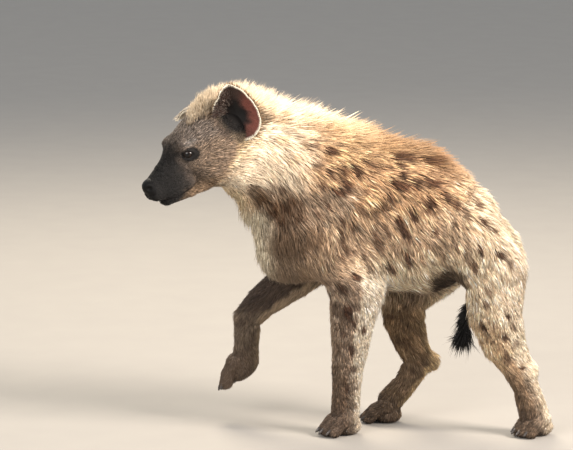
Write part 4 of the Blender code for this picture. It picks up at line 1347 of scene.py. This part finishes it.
def tuft_arrays(root, normal, flow, length, width, lift, chance, uv, wild):
    """The arrays of tufts that leave the skin at lift and bend down to lie along flow."""
    count = len(root)
    flow = unit(flow - normal * np.sum(flow * normal, axis=1, keepdims=True))
    across = np.cross(flow, normal)
    swerve = chance.normal(0, TURN_SPREAD, count) + 0.7 * (noise(root, 0.022, 41) - 0.5)
    swerve *= wild
    flow = flow * np.cos(swerve)[:, None] + across * np.sin(swerve)[:, None]
    across = np.cross(flow, normal)
    lift = lift * np.exp(chance.normal(0, LIFT_SPREAD, count))
    lift = (lift * (0.85 + 0.3 * noise(root, 0.018, 42)))[:, None]
    start = flow * np.cos(lift * ROOT_LIFT) + normal * np.sin(lift * ROOT_LIFT)
    end = flow * np.cos(lift * TIP_LIFT) + normal * np.sin(lift * TIP_LIFT)
    roll = chance.normal(0, ROLL_SPREAD, count)[:, None]
    side = unit(across * np.cos(roll) + np.cross(start, across) * np.sin(roll))
    length = length * np.exp(chance.normal(0, LENGTH_SPREAD, count))
    width = width * np.exp(chance.normal(0, WIDTH_SPREAD, count))
    root = root - start * (ROOT_DEPTH * length)[:, None]
    return {"root": root, "start": start, "end": end, "side": side, "length": length,
            "width": width, "uv": uv}


def tuft_colours(tufts, colour, strength, chance, tip_gain=1.15, painted_root_shade=0.60):
    """Gives each tuft one shade of its place's colour, deeper at the root with painted shade and
    paler at the tip, more so where tufts differ more."""
    count = len(colour)
    tip_gain = tip_gain + 0.45 * (strength - 0.2)[:, None]
    painted_root_shade = painted_root_shade - 0.5 * (strength - 0.2)[:, None]
    shade = np.exp(strength * chance.normal(0, 1.0, count) - 0.2 * strength)
    tone = 1 + 0.5 * strength[:, None] * chance.normal(0, 1, (count, 1)) * np.array((0.12, 0, -0.16))
    own = colour * shade[:, None] * tone
    # The root is darkened as painted shade of the hair over it.
    tufts["base"] = own * painted_root_shade
    tufts["tip"] = own * tip_gain
    return tufts


# The name of the material that all hair shares.
HAIR = "guard_hair"


def coat_piece(name, tufts, rings):
    """A piece of the coat, of tufts with their rings."""
    mesh = tuft_mesh(name, tufts, rings)
    mesh.materials.append(bpy.data.materials.get(HAIR) or fur_material())
    made = link_object(name, mesh)
    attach(made, BODY)


def fur_material():
    """Guard hair, as grown: a soft long gloss along the lock and a fine grain across it."""
    # Single hairs are 0.08 mm; drawn at about 1 mm so that they show.
    made, tree, shader, hairs = new_material(HAIR, "ShaderNodeTexNoise", 1.111, Detail=2.0)
    plug(tree, shader, {"Base Color": own_colours(tree, hairs.outputs["Fac"], 0.82, 1.16)},
         {"Roughness": 0.62, "Specular IOR Level": 0.22, "Sheen Weight": 0.04,
          "Sheen Roughness": 0.4})
    return made


def hide_material():
    """Skin below the coat: dull, in the coat's own colour, with the grain of short underfur."""
    # Tufts of underfur stand about 1.4 mm apart.
    made, tree, shader, underfur = new_material("hide_with_underfur", "ShaderNodeTexNoise", 1.429,
                                                Detail=3.0)
    raised = add_node(tree, "ShaderNodeBump", None, {"Height": underfur.outputs["Fac"]},
                      {"Strength": 0.5, "Distance": 0.0006})
    plug(tree, shader, {"Base Color": own_colours(tree, underfur.outputs["Fac"], 0.62, 1.10),
                        "Normal": raised.outputs["Normal"]},
         {"Roughness": 0.8, "Specular IOR Level": 0.3})
    return made


def nose_material():
    """Nose leather: black, damp and pebbled, so that it shines in small points."""
    # The plates of the leather are a little over a millimetre across.
    made, tree, shader, plates = new_material("nose_leather", "ShaderNodeTexVoronoi", 1.25)
    height = plates.outputs["Distance"]
    tint = add_node(tree, "ShaderNodeMix", {"data_type": "RGBA"}, {"Factor": height},
                    {"A": (*hex_colour("#080707"), 1), "B": (*hex_colour("#110f0f"), 1)})
    raised = add_node(tree, "ShaderNodeBump", None, {"Height": height},
                      {"Strength": 0.35, "Distance": 0.0004})
    plug(tree, shader, {"Base Color": tint.outputs["Result"], "Normal": raised.outputs["Normal"]},
         {"Roughness": 0.5, "Specular IOR Level": 0.12})
    return made


def horn_material():
    """Claw horn: black-brown, grown in long fibres with paler streaks, worn smooth."""
    # The bundles of fibres are about 2.4 mm wide.
    made, tree, shader, fibre = new_material("claw_horn", "ShaderNodeTexNoise", 2.381, Detail=3.0)
    tint = add_node(tree, "ShaderNodeMix", {"data_type": "RGBA"}, {"Factor": fibre.outputs["Fac"]},
                    {"A": (*hex_colour("#1a1512"), 1), "B": (*hex_colour("#57493c"), 1)})
    plug(tree, shader, {"Base Color": tint.outputs["Result"]}, {"Roughness": 0.38})
    return made


def eye_material():
    """Eye under its tear film: colours on the ball, a clear wet coat over them."""
    # The folds of the iris are about 0.4 mm apart.
    made, tree, shader, fold = new_material("wet_eye", "ShaderNodeTexNoise", 0.4)
    plug(tree, shader, {"Base Color": own_colours(tree, fold.outputs["Fac"], 0.7, 1.3)},
         {"Roughness": 0.3, "Specular IOR Level": 0.1, "Coat Weight": 0.8, "Coat IOR": 1.34,
          "Coat Roughness": 0.03})
    return made


def floor_material():
    """Plaster, laid in one and smoothed: pale and matt, with a faint mottle."""
    # The mottle is about a hand's width across.
    made, tree, shader, mottle = new_material("pale_plaster_floor", "ShaderNodeTexNoise", 111.1,
                                              Detail=3.0)
    tint = add_node(tree, "ShaderNodeMix", {"data_type": "RGBA"}, {"Factor": mottle.outputs["Fac"]},
                    {"A": (*hex_colour("#94908a"), 1), "B": (*hex_colour("#9a968f"), 1)})
    plug(tree, shader, {"Base Color": tint.outputs["Result"]}, {"Roughness": 0.9})
    return made


def build_skin():
    """One skin for all the flesh, drawn under the coat, with the face's folds."""
    forms, posts = all_forms() + [Chain(TAIL, 0.02)], coat_posts() + tail_posts()
    rough = bmesh.new()
    for form in forms:
        form.hulls(rough)
    made = object_from("skin", rough)
    remesh = made.modifiers.new("fuse", "REMESH")
    remesh.mode = "VOXEL"
    remesh.voxel_size = SKIN_VOXEL
    apply_modifiers(made)
    draw_onto(made.data, forms, posts, SKIN_STEPS, False)
    for middle, reach in FACE_AREAS:
        divide_area(made.data, middle, reach)
    draw_onto(made.data, forms, posts, FACE_STEPS, True)
    points = mesh_points(made.data)
    # The skin carries the coat's markings, darkened under the coat as painted shade.
    set_colours(made.data, markings(points) * UNDER_COAT_PAINTED_SHADE)
    for material in (hide_material(), nose_material()):
        made.data.materials.append(material)
    on_nose = leather(*on_face(points)) > 0.5
    for polygon in made.data.polygons:
        if all(on_nose[v] for v in polygon.vertices):
            polygon.material_index = 1
    made.data.shade_smooth()
    points[:, 2] = np.maximum(points[:, 2], -SHIFT[2])
    set_points(made.data, points + SHIFT)
    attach(made, BODY)
    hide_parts("head", "neck", "torso", "tail", *("leg_" + leg for leg in LEGS))
    return made


# The most tufts in a piece.
TUFTS_A_PIECE = 33000


def tuft_width(length):
    """Finer tufts where the coat is short."""
    return 0.0006 + 0.042 * length


def build_coat(settings):
    """The coat in pieces, each of thin tufts that follow its lie."""
    chance = np.random.default_rng(3)
    skin = Skin(bpy.data.objects["skin"])
    posts = coat_posts() + tail_posts()
    _, length, _ = coat_at(skin.middle, posts)
    weight = coverage(length) / (0.5 * length * tuft_width(length))
    weight *= 1 - bare(skin.middle)
    weight *= 1 - 0.6 * crest_band(skin.middle)
    root, normal = skin.scatter(weight, settings.tufts, chance)
    belongs = piece_of(root)
    for name in PIECES:
        own = np.flatnonzero(belongs == name)[:TUFTS_A_PIECE]
        place = root[own]
        flow, length, lift = coat_at(place, posts)
        length *= settings.length * (1 - 0.5 * smooth(ear_share(place), 1.5, 1.0))
        fringe = throat(place)
        length *= 1 + 0.45 * fringe
        lift = lift + np.radians(12) * fringe
        width = tuft_width(length) * settings.width
        tufts = tuft_arrays(place, normal[own], flow, length, width, lift, chance,
                            piece_uv(name, place), 1.0)
        middle = place + COLOUR_AT * length[:, None] * tufts["end"]
        ground = markings(middle) * clumps(middle)
        tuft_colours(tufts, ground, streak_strength(middle), chance)
        coat_piece("coat_" + name, tufts, SHORT_TUFT)


def crest_place(points):
    """For each point the values of CREST at its nearest place, and how far it is off to a side."""
    table = np.array(CREST)
    reach = np.append(0, np.cumsum(np.linalg.norm(np.diff(table[:, :3], axis=0), axis=1)))
    fine = np.linspace(0, reach[-1], 200)
    line = np.stack([np.interp(fine, reach, column) for column in table.T], axis=1)
    ahead = unit(np.gradient(line[:, :3], axis=0))
    nearest = np.empty(len(points), int)
    for first in range(0, len(points), BATCH):
        some = slice(first, first + BATCH)
        off = points[some, None] - line[None, :, :3]
        nearest[some] = np.argmin(np.abs(np.sum(off * ahead[None], axis=2)) * 3
                                  + np.linalg.norm(off, axis=2), axis=1)
    here, back = line[nearest], ahead[nearest]
    off = points - here[:, :3]
    off -= back * np.sum(off * back, axis=1, keepdims=True)
    upward = unit(np.array((0, 0, 1.0)) - back * back[:, 2:3])
    return here, back, off, upward


# How many degrees farther down each side than CREST says the long hair goes, and over how many it
# fades to either side of that. Between which places it begins on the brow and ends on the loins. Then
# the width of its tufts, how deep they are set and how far they bend back from root to tip.
CREST_WIDER = 8
CREST_FADE = 9
CREST_START = (-0.432, -0.410)
CREST_END = (0.25, 0.09)
MANE_WIDTH = 0.0022
MANE_DEPTH = 0.003
MANE_BEND = 0.35


def crest_band(points):
    """1 on the band along the neck and back where the long hair stands."""
    here, _, off, upward = crest_place(points)
    out = unit(off)
    turn = np.degrees(np.arccos(np.clip(np.sum(out * upward, axis=1), -1, 1)))
    ends = smooth(points[:, 1], *CREST_START) * smooth(points[:, 1], *CREST_END)
    edge = here[:, 5] + CREST_WIDER
    return smooth(turn, edge + CREST_FADE, edge - CREST_FADE) * ends


def build_mane(settings):
    """The raised crest from brow to loins: long hair that stands and leans back."""
    chance = np.random.default_rng(8)
    skin = Skin(bpy.data.objects["skin"])
    posts = coat_posts()
    band = crest_band(skin.middle) * smooth(ear_share(skin.middle), 0.90, 1.05)
    root, _ = skin.scatter(band, settings.mane_tufts, chance)
    here, back, off, _ = crest_place(root)
    out = unit(off)
    count = len(root)
    lean = np.radians(here[:, 4]) + chance.normal(0, 0.16, count)
    lean += 0.5 * (noise(root, 0.02, 51) - 0.5)
    edge = 1 - crest_band(root)
    lean = (lean + 0.5 * edge)[:, None]
    start = out * np.cos(lean) + back * np.sin(lean)
    lean = lean + MANE_BEND
    end = out * np.cos(lean) + back * np.sin(lean)
    across = np.cross(back, out)
    sway = chance.normal(0, 0.10, count) + 0.4 * (noise(root, 0.025, 52) - 0.5)
    end = unit(end + across * sway[:, None])
    length = here[:, 3] * (1 - 0.55 * edge) + coat_depth(root, posts)
    length *= 0.55 + 0.45 * smooth(root[:, 1], -0.43, -0.35)
    length *= settings.mane * np.exp(np.clip(chance.normal(0, 0.13, count), -0.3, 0.2))
    roll = chance.uniform(0, math.pi, count)[:, None]
    side = unit(across * np.cos(roll) + np.cross(start, across) * np.sin(roll))
    tufts = {
        "root": root - start * MANE_DEPTH, "start": start, "end": end, "side": side,
        "length": length, "width": MANE_WIDTH * np.exp(chance.normal(0, 0.2, count)),
        "uv": unwrap(root, (0, 0, 0.5), (0, 1, 0), -0.47, 0.2),
    }
    ground = markings(root + 0.6 * length[:, None] * end) * clumps(root)
    tuft_colours(tufts, ground, np.full(count, 0.16), chance, 1.15, 0.62)
    warm = np.array(hex_colour("#c79a68"))
    share = (0.40 * chance.random(count) ** 2)[:, None]
    tufts["tip"] = tufts["tip"] * (1 - share) + warm * share
    on_head = 0.55 * smooth(into(NAPE, root)[:, 1], 0.03, -0.01) * (1 - edge)
    tufts["tip"] = lay(tufts["tip"], ("#ecd8b8", on_head))
    coat_piece("coat_mane", tufts, LONG_TUFT)


# The brush's hair: its length and its lift in degrees, above and below, and the width of its tufts.
BRUSH_LENGTH = (0.038, 0.054)
BRUSH_LIFT = (13, 19)
BRUSH_WIDTH = 0.0024


def build_brush(settings):
    """The black brush that ends the tail: a drop that is widest below its middle."""
    chance = np.random.default_rng(9)
    skin = Skin(bpy.data.objects["skin"])
    inside = Chain(BRUSH, 0).distance(skin.middle) < 0.002
    weight = inside * smooth(skin.middle[:, 2], *BRUSH_START)
    root, normal = skin.scatter(weight, settings.brush_tufts, chance)
    flow, _, _ = coat_at(root, tail_posts())
    count = len(root)
    low = smooth(root[:, 2], 0.30, 0.22)
    length = np.interp(low, (0, 1), BRUSH_LENGTH) * np.exp(chance.normal(0, 0.06, count))
    lift = np.radians(np.interp(low, (0, 1), BRUSH_LIFT))
    tufts = tuft_arrays(root, normal, flow, length, np.full(count, BRUSH_WIDTH), lift, chance,
                        piece_uv("tail", root), 0.15)
    tuft_colours(tufts, plain("#0b0a09", count), np.full(count, 0.3), chance, 1.3, 0.8)
    coat_piece("coat_brush", tufts, LONG_TUFT)


# How finely the ear is drawn, how thick it is at the rim, and how far that is rounded outward.
EAR_TURNS = 96
EAR_RINGS = 16
EAR_RIM = 0.0022
EAR_RIM_OUT = 0.0012
# The shares of the ear's tufts that grow on its rim, and on its back when they aren't on the rim. The
# length of the hair on the back, in the cup and on the rim, and how much more it is at the front.
RIM_SHARE = 0.20
BACK_SHARE = 0.40
BACK_HAIR = 0.009
CUP_HAIR = 0.003
RIM_HAIR = 0.004
FRONT_HAIR = 0.010


def closed_mesh(name, points, faces, colours, material):
    """A smooth mesh with colours on its points, its doubles merged and its faces turned out."""
    mesh = bpy.data.meshes.new(name)
    mesh.from_pydata([tuple(p) for p in np.array(points) + SHIFT], [], faces)
    set_colours(mesh, colours)
    drawn = bmesh.new()
    drawn.from_mesh(mesh)
    bmesh.ops.remove_doubles(drawn, verts=drawn.verts, dist=1e-6)
    bmesh.ops.recalc_face_normals(drawn, faces=drawn.faces)
    drawn.to_mesh(mesh)
    drawn.free()
    mesh.shade_smooth()
    mesh.materials.append(material)
    return link_object(name, mesh)


def ear_sheet(side):
    """The points of the cup's inner face, ring by ring, with each one's turn and share."""
    place = ear_frame(side)
    shares = np.linspace(0, 1, EAR_RINGS + 1)[1:]
    found = [place @ on_side(ear_point(step * 360 / EAR_TURNS, share), side)
             for share in shares for step in range(EAR_TURNS)]
    middle = place @ on_side(ear_point(0, 0), side)
    turns = np.tile(np.arange(EAR_TURNS) * 360 / EAR_TURNS, EAR_RINGS)
    return np.array(found), np.array(middle), turns, np.repeat(shares, EAR_TURNS)


def ear_colours(turns, shares, back, points):
    """Dark in the cup, chestnut behind, grey-brown in front, a pale rim all round, and the far ear
    paler with painted sunlight.
    """
    cup = shares + 0.3 * (noise(points, 0.010, 61) - 0.5)
    toward = np.cos(np.radians(turns - 10))
    ahead = np.cos(np.radians(turns - 150))
    base = lay(
        plain("#5b3a32", len(turns)),
        ("#7d4a40", smooth(toward, 0.2, 0.8) * smooth(cup, 0.45, 0.75)),
        ("#3f302a", smooth(ahead, 0.0, 0.6)),
        ("#0f0b0a", smooth(cup, 0.62, 0.30)),
    )
    base = np.where(back[:, None], np.array(hex_colour("#8a7156")), base)
    # The far ear is drawn paler than the near one: painted sunlight on it.
    far = into(HEAD, points)[:, 0] < 0
    free = smooth(np.cos(np.radians(turns - EAR_FOOT)), 0.75, 0.45)
    return lay(
        base,
        ("#e8dccb", 0.85 * far * smooth(shares, 0.35, 0.7)),
        ("#fbf1dd", free * smooth(shares, 0.955, 0.975)),
    )


def build_ear(side, word, settings):
    """A cup of thin gristle with a rounded rim, and its short fur."""
    inner, middle, turns, shares = ear_sheet(side)
    grid = inner.reshape(EAR_RINGS, EAR_TURNS, 3)
    along = np.gradient(grid, axis=0)
    around = np.roll(grid, -1, axis=1) - np.roll(grid, 1, axis=1)
    normal = unit(np.cross(around, along) * side)
    thick = np.interp(shares, (0, 0.8, 1), (EAR_THICKNESS, EAR_THICKNESS * 0.9, EAR_RIM))
    outer = inner + normal.reshape(-1, 3) * thick[:, None]
    deep = middle + unit(normal[0].mean(axis=0)) * EAR_THICKNESS
    rim = (inner[-EAR_TURNS:] + outer[-EAR_TURNS:]) / 2 + unit(along[-1]) * EAR_RIM_OUT
    points = np.concatenate([inner, outer, rim, [middle], [deep]])
    count, faces = len(inner), []
    for ring in range(EAR_RINGS - 1):
        for step in range(EAR_TURNS):
            after = (step + 1) % EAR_TURNS
            a, b = ring * EAR_TURNS + step, ring * EAR_TURNS + after
            c, d = b + EAR_TURNS, a + EAR_TURNS
            faces += [(a, b, c, d), (count + a, count + d, count + c, count + b)]
    last, edge = count - EAR_TURNS, 2 * count
    for step in range(EAR_TURNS):
        after = (step + 1) % EAR_TURNS
        faces += [
            (last + step, last + after, edge + after, edge + step),
            (edge + step, edge + after, count + last + after, count + last + step),
            (step, edge + EAR_TURNS, after),
            (count + step, count + after, edge + EAR_TURNS + 1),
        ]
    all_turns = np.concatenate([turns, turns, turns[:EAR_TURNS], [EAR_FOOT] * 2])
    all_shares = np.concatenate([shares, shares, np.ones(EAR_TURNS), [0, 0]])
    back = np.zeros(len(points), bool)
    back[count : 2 * count] = True
    made = closed_mesh("ear_" + word + "_skin", points, faces,
                       ear_colours(all_turns, all_shares, back, points), hide_material())
    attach(made, BODY)
    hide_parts("ear_" + word)
    grow_ear_fur(side, word, grid, normal, along, settings)


def grow_ear_fur(side, word, grid, normal, along, settings):
    """Short fur on both faces of the ear, longer along its front edge, pale on the rim."""
    chance = np.random.default_rng(12 if side > 0 else 13)
    count = settings.ear_tufts
    ring = np.sqrt(chance.uniform(0.12, 1.0, count)) * (EAR_RINGS - 1)
    on_rim = chance.random(count) < RIM_SHARE
    ring = np.where(on_rim, EAR_RINGS - 1, ring)
    step = chance.uniform(0, EAR_TURNS, count)
    low, turn = np.minimum(ring.astype(int), EAR_RINGS - 2), step.astype(int)
    after = (turn + 1) % EAR_TURNS
    up, on = (ring - low)[:, None], (step - turn)[:, None]
    root = (grid[low, turn] * (1 - up) + grid[low + 1, turn] * up) * (1 - on)
    root += (grid[low, after] * (1 - up) + grid[low + 1, after] * up) * on
    out = normal[low, turn]
    flow = unit(along[low, turn])
    behind = (chance.random(count) < BACK_SHARE) & ~on_rim
    face = np.where(behind[:, None], out, -out)
    root = np.where(behind[:, None], root + out * EAR_THICKNESS * 0.8, root)
    degrees = step * 360 / EAR_TURNS
    share = (ring + 1) / EAR_RINGS
    front = smooth(np.cos(np.radians(degrees - 165)), 0.3, 0.8) * ~behind * (side > 0)
    length = np.where(behind, BACK_HAIR, CUP_HAIR + FRONT_HAIR * front)
    length = np.where(on_rim, RIM_HAIR + 0.3 * FRONT_HAIR * front, length)
    lift = np.where(on_rim, 0.10, 0.25 + 0.25 * front)
    uv = np.stack([inset(degrees / 360), 0.03 + 0.45 * share + 0.48 * behind], axis=1)
    tufts = tuft_arrays(root, face, flow, length, 0.0009 + 0.07 * length, lift, chance, uv, 0.8)
    ground = ear_colours(degrees, np.where(on_rim, 1.0, np.minimum(share, 0.93)), behind, root)
    grey = 0.6 * front * ~on_rim * (chance.random(count) < 0.3)
    ground = lay(ground, ("#7b7067", grey))
    tuft_colours(tufts, ground, np.where(on_rim, 0.06, 0.22), chance, 1.2, 0.8)
    coat_piece("coat_ear_" + word, tufts, SHORT_TUFT)


# How finely the eye is drawn, how far its pupil and iris go off the gaze, how far the cornea stands
# out, and how far the visible ball lies inside the solid one.
EYE_TURNS = 64
EYE_RINGS = 40
PUPIL_ANGLE = math.radians(20)
IRIS_ANGLE = math.radians(44)
CORNEA_BULGE = 0.0009
EYE_INSET = 0.0002


def eye_colour(angle, iris):
    """Pupil, iris, its dark edge and the white's brown, by the angle off the gaze."""
    if angle < PUPIL_ANGLE:
        return hex_colour("#040303")
    if angle < IRIS_ANGLE * 0.9:
        return tuple(iris)
    return hex_colour("#0c0806" if angle < IRIS_ANGLE * 1.05 else "#3a2b24")


def build_eye(side, word, settings):
    """A ball with pupil, iris and the bulge of the cornea, under its tear film."""
    gaze = HEAD.to_3x3() @ on_side(EYE_GAZE, side)
    centre = HEAD @ on_side(EYE_AT, side)
    across, upward = square_to(gaze)
    points, colours, faces = [], [], []
    for ring in range(EYE_RINGS + 1):
        angle = math.pi * (ring / EYE_RINGS) ** 1.4
        bulge = CORNEA_BULGE * max(0.0, 1 - (angle / IRIS_ANGLE) ** 2)
        radius = EYE_RADIUS - EYE_INSET + bulge
        colour = eye_colour(angle, settings.iris)
        for step in range(EYE_TURNS):
            turn = 2 * math.pi * step / EYE_TURNS
            off = across * math.cos(turn) + upward * math.sin(turn)
            points.append(centre + radius * (gaze * math.cos(angle) + off * math.sin(angle)))
            colours.append(colour)
    for ring in range(EYE_RINGS):
        for step in range(EYE_TURNS):
            after = (step + 1) % EYE_TURNS
            a, b = ring * EYE_TURNS + step, ring * EYE_TURNS + after
            faces.append((a, b, b + EYE_TURNS, a + EYE_TURNS))
    made = closed_mesh("eyeball_" + word, points, faces, np.array(colours), eye_material())
    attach(made, BODY)
    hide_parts("eye_" + word)


# A claw leaves its toe near the top of the tip and bends down to a blunt point above the floor. It
# starts BACK and ends OUT ahead of the toe's middle, is LIFT above the sole at its root, sinks by
# DROP and ends in a point that is TIP above the sole.
CLAW_BACK = 0.004
CLAW_OUT = 0.0215
CLAW_TALL = 0.0090
CLAW_WIDE = 0.0072
CLAW_LIFT = 0.0165
CLAW_DROP = 0.0095
CLAW_TIP = 0.0066
CLAW_SIDES = 14
CLAW_RINGS = 9


def claw_ring(share, root):
    """A section of a claw that starts at root, in its paw's frame: slimmer and lower on the way."""
    size = 0.5 * math.sqrt(max(0.02, 1 - 0.95 * share**2.2))
    forward = CLAW_BACK + (CLAW_OUT - CLAW_BACK) * share
    centre = root + Vector((0, -forward, CLAW_LIFT - CLAW_DROP * share**2))
    upward = Vector((0, -0.9 * share, 1)).normalized()
    turns = (2 * math.pi * number / CLAW_SIDES for number in range(CLAW_SIDES))
    return [centre + Vector((CLAW_WIDE * size * math.cos(turn), 0, 0))
            + upward * CLAW_TALL * size * math.sin(turn) for turn in turns]


def build_claws(leg):
    """The four claws of a paw, rounder than their solids and bent to a blunt point."""
    place = Matrix.Translation(SHIFT) @ paw_frame(leg)
    drawn = bmesh.new()
    for across, reach in zip(TOE_SPREAD, TOE_REACH):
        root = Vector((across * 1.08, -reach, 0))
        shares = [0.98 * step / (CLAW_RINGS - 1) for step in range(CLAW_RINGS)]
        rings = [[drawn.verts.new(place @ at) for at in claw_ring(share, root)] for share in shares]
        tip = drawn.verts.new(place @ (root + Vector((0, -CLAW_OUT, CLAW_TIP))))
        drawn.faces.new(reversed(rings[0]))
        for at in range(CLAW_SIDES):
            after = (at + 1) % CLAW_SIDES
            for inner, outer in zip(rings, rings[1:]):
                drawn.faces.new((inner[at], inner[after], outer[after], outer[at]))
            drawn.faces.new((rings[-1][at], rings[-1][after], tip))
    bmesh.ops.recalc_face_normals(drawn, faces=drawn.faces)
    made = object_from("claws_" + leg, drawn)
    made.data.shade_smooth()
    made.data.materials.append(bpy.data.materials.get("claw_horn") or horn_material())
    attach(made, BODY)
    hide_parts(*[f"claw_{leg}_{number}" for number in (1, 2, 3, 4)])


# The camera: its distance, the picture's size in dots and the sensor's width in mm. Then half the
# floor's width, and the height of the point that the lamps face.
CAMERA_DISTANCE = 8.0
FRAME_DOTS = (573, 450)
SENSOR = 36.0
FLOOR_HALF = 30
LIT_HEIGHT = 0.4
# Each lamp's place, size and colour. Its power is in the settings.
LAMPS = {
    "key": ((1.9, 3.5, 2.5), 1.6, "#fff3e8"),
    "fill": ((4.2, -2.6, 2.6), 3.0, "#fff7ee"),
    "rim": ((-2.6, -0.6, 3.2), 1.6, "#fff0da"),
}


def build_stage(settings):
    """A pale floor, soft studio light and a camera at the photograph's angle."""
    scene = bpy.context.scene
    mesh = bpy.data.meshes.new("floor")
    corners = [(-1, -1), (1, -1), (1, 1), (-1, 1)]
    mesh.from_pydata([(x * FLOOR_HALF, y * FLOOR_HALF, 0) for x, y in corners], [], [(0, 1, 2, 3)])
    mesh.materials.append(floor_material())
    link_object("floor", mesh)
    for word, (at, size, tint) in LAMPS.items():
        light = bpy.data.lights.new(word + "_light", "AREA")
        light.size = size
        light.energy = getattr(settings, word)
        light.color = hex_colour(tint)
        lamp = link_object(word + "_light", light)
        lamp.location = at
        away = lamp.location - Vector((0, 0, LIT_HEIGHT))
        lamp.rotation_euler = away.to_track_quat("Z", "Y").to_euler()
    scene.view_settings.view_transform = "Standard"
    world = bpy.data.worlds.new("studio")
    scene.world = world
    world.use_nodes = True
    background = world.node_tree.nodes["Background"]
    background.inputs["Color"].default_value = (*hex_colour("#e8ecf2"), 1)
    background.inputs["Strength"].default_value = settings.sky
    camera = bpy.data.cameras.new("camera")
    camera.sensor_width = SENSOR
    camera.lens = SENSOR * CAMERA_DISTANCE * DOTS / FRAME_DOTS[0]
    camera.clip_end = 100
    made = link_object("camera", camera)
    back = Vector((math.cos(SIDE_TILT), 0, math.sin(SIDE_TILT)))
    aim = Vector((
        0,
        (FRAME_DOTS[0] / 2 - SIDE_ACROSS) / DOTS,
        (SIDE_DOWN - FRAME_DOTS[1] / 2) / DOTS / math.cos(SIDE_TILT),
    ))
    made.location = aim + Vector(SHIFT) + back * CAMERA_DISTANCE
    made.rotation_mode = "QUATERNION"
    made.rotation_quaternion = (-back).to_track_quat("-Z", "Y")
    scene.camera = made


class HYENA_PG_coat(bpy.types.PropertyGroup):
    """Sizes and counts of the coat"""

    tufts: bpy.props.IntProperty(
        name="Tufts", description="Tufts on body, head and legs", default=192000, min=1000)
    mane_tufts: bpy.props.IntProperty(
        name="Mane tufts", description="Tufts in the crest", default=15000, min=100)
    brush_tufts: bpy.props.IntProperty(
        name="Brush tufts", description="Tufts in the tail's brush", default=3200, min=100)
    ear_tufts: bpy.props.IntProperty(
        name="Ear tufts", description="Tufts on each ear", default=6000, min=100)
    length: bpy.props.FloatProperty(
        name="Length", description="Share of the drawn hair length", default=1.0, subtype="FACTOR")
    width: bpy.props.FloatProperty(
        name="Width", description="Share of the drawn tuft width", default=1.0, subtype="FACTOR")
    mane: bpy.props.FloatProperty(
        name="Mane", description="Share of the drawn mane length", default=1.0, subtype="FACTOR")
    iris: bpy.props.FloatVectorProperty(
        name="Iris", description="Colour of the iris", default=hex_colour("#170d07"), size=3,
        subtype="COLOR")


class HYENA_PG_stage(bpy.types.PropertyGroup):
    """Strength of the studio's lights"""

    key: bpy.props.FloatProperty(
        name="Key", description="Power of the key light in watts", default=480.0, unit="POWER")
    fill: bpy.props.FloatProperty(
        name="Fill", description="Power of the fill light in watts", default=250.0, unit="POWER")
    rim: bpy.props.FloatProperty(
        name="Rim", description="Power of the rim light in watts", default=160.0, unit="POWER")
    sky: bpy.props.FloatProperty(
        name="Sky", description="Brightness of the room", default=0.80)


class HYENA_OT_skin(bpy.types.Operator):
    """Makes the one skin under the coat"""

    bl_idname = "hyena.skin"
    bl_label = "Skin"

    def execute(self, context):
        build_skin()
        return {"FINISHED"}


class HYENA_OT_coat(bpy.types.Operator):
    """Grows the coat on the skin"""

    bl_idname = "hyena.coat"
    bl_label = "Coat"

    def execute(self, context):
        build_coat(context.scene.hyena_coat)
        return {"FINISHED"}


class HYENA_OT_mane(bpy.types.Operator):
    """Grows the raised crest and the tail's brush"""

    bl_idname = "hyena.mane"
    bl_label = "Mane and brush"

    def execute(self, context):
        build_mane(context.scene.hyena_coat)
        build_brush(context.scene.hyena_coat)
        return {"FINISHED"}


class HYENA_OT_ears(bpy.types.Operator):
    """Makes both ears with their fur"""

    bl_idname = "hyena.ears"
    bl_label = "Ears"

    def execute(self, context):
        for side, word in ((1, "left"), (-1, "right")):
            build_ear(side, word, context.scene.hyena_coat)
        return {"FINISHED"}


class HYENA_OT_eyes(bpy.types.Operator):
    """Makes both eyes"""

    bl_idname = "hyena.eyes"
    bl_label = "Eyes"

    def execute(self, context):
        for side, word in ((1, "left"), (-1, "right")):
            build_eye(side, word, context.scene.hyena_coat)
        return {"FINISHED"}


class HYENA_OT_claws(bpy.types.Operator):
    """Makes the claws of the four paws"""

    bl_idname = "hyena.claws"
    bl_label = "Claws"

    def execute(self, context):
        for leg in LEGS:
            build_claws(leg)
        return {"FINISHED"}


class HYENA_OT_stage(bpy.types.Operator):
    """Sets floor, lights and camera"""

    bl_idname = "hyena.stage"
    bl_label = "Stage"

    def execute(self, context):
        build_stage(context.scene.hyena_stage)
        return {"FINISHED"}


PIECE_OPERATORS = (HYENA_OT_skin, HYENA_OT_coat, HYENA_OT_mane, HYENA_OT_ears, HYENA_OT_eyes,
                   HYENA_OT_claws, HYENA_OT_stage)


class HYENA_PT_panel(bpy.types.Panel):
    """Lists the pieces and their settings"""

    bl_label = "Hyena"
    bl_idname = "HYENA_PT_panel"
    bl_space_type = "VIEW_3D"
    bl_region_type = "UI"
    bl_category = "Hyena"

    def draw(self, context):
        for group in (context.scene.hyena_coat, context.scene.hyena_stage):
            for name in group.__annotations__:
                self.layout.prop(group, name)
        for operator in PIECE_OPERATORS:
            self.layout.operator(operator.bl_idname)


CLASSES = (HYENA_PG_coat, HYENA_PG_stage, *PIECE_OPERATORS, HYENA_PT_panel)


def register():
    for one in CLASSES:
        bpy.utils.register_class(one)
    bpy.types.Scene.hyena_coat = bpy.props.PointerProperty(type=HYENA_PG_coat)
    bpy.types.Scene.hyena_stage = bpy.props.PointerProperty(type=HYENA_PG_stage)


def unregister():
    del bpy.types.Scene.hyena_coat
    del bpy.types.Scene.hyena_stage
    for one in reversed(CLASSES):
        bpy.utils.unregister_class(one)


def main():
    register()
    bpy.ops.hyena.skin()
    bpy.ops.hyena.coat()
    bpy.ops.hyena.mane()
    bpy.ops.hyena.ears()
    bpy.ops.hyena.eyes()
    bpy.ops.hyena.claws()
    bpy.ops.hyena.stage()


if __name__ == "__main__":
    main()
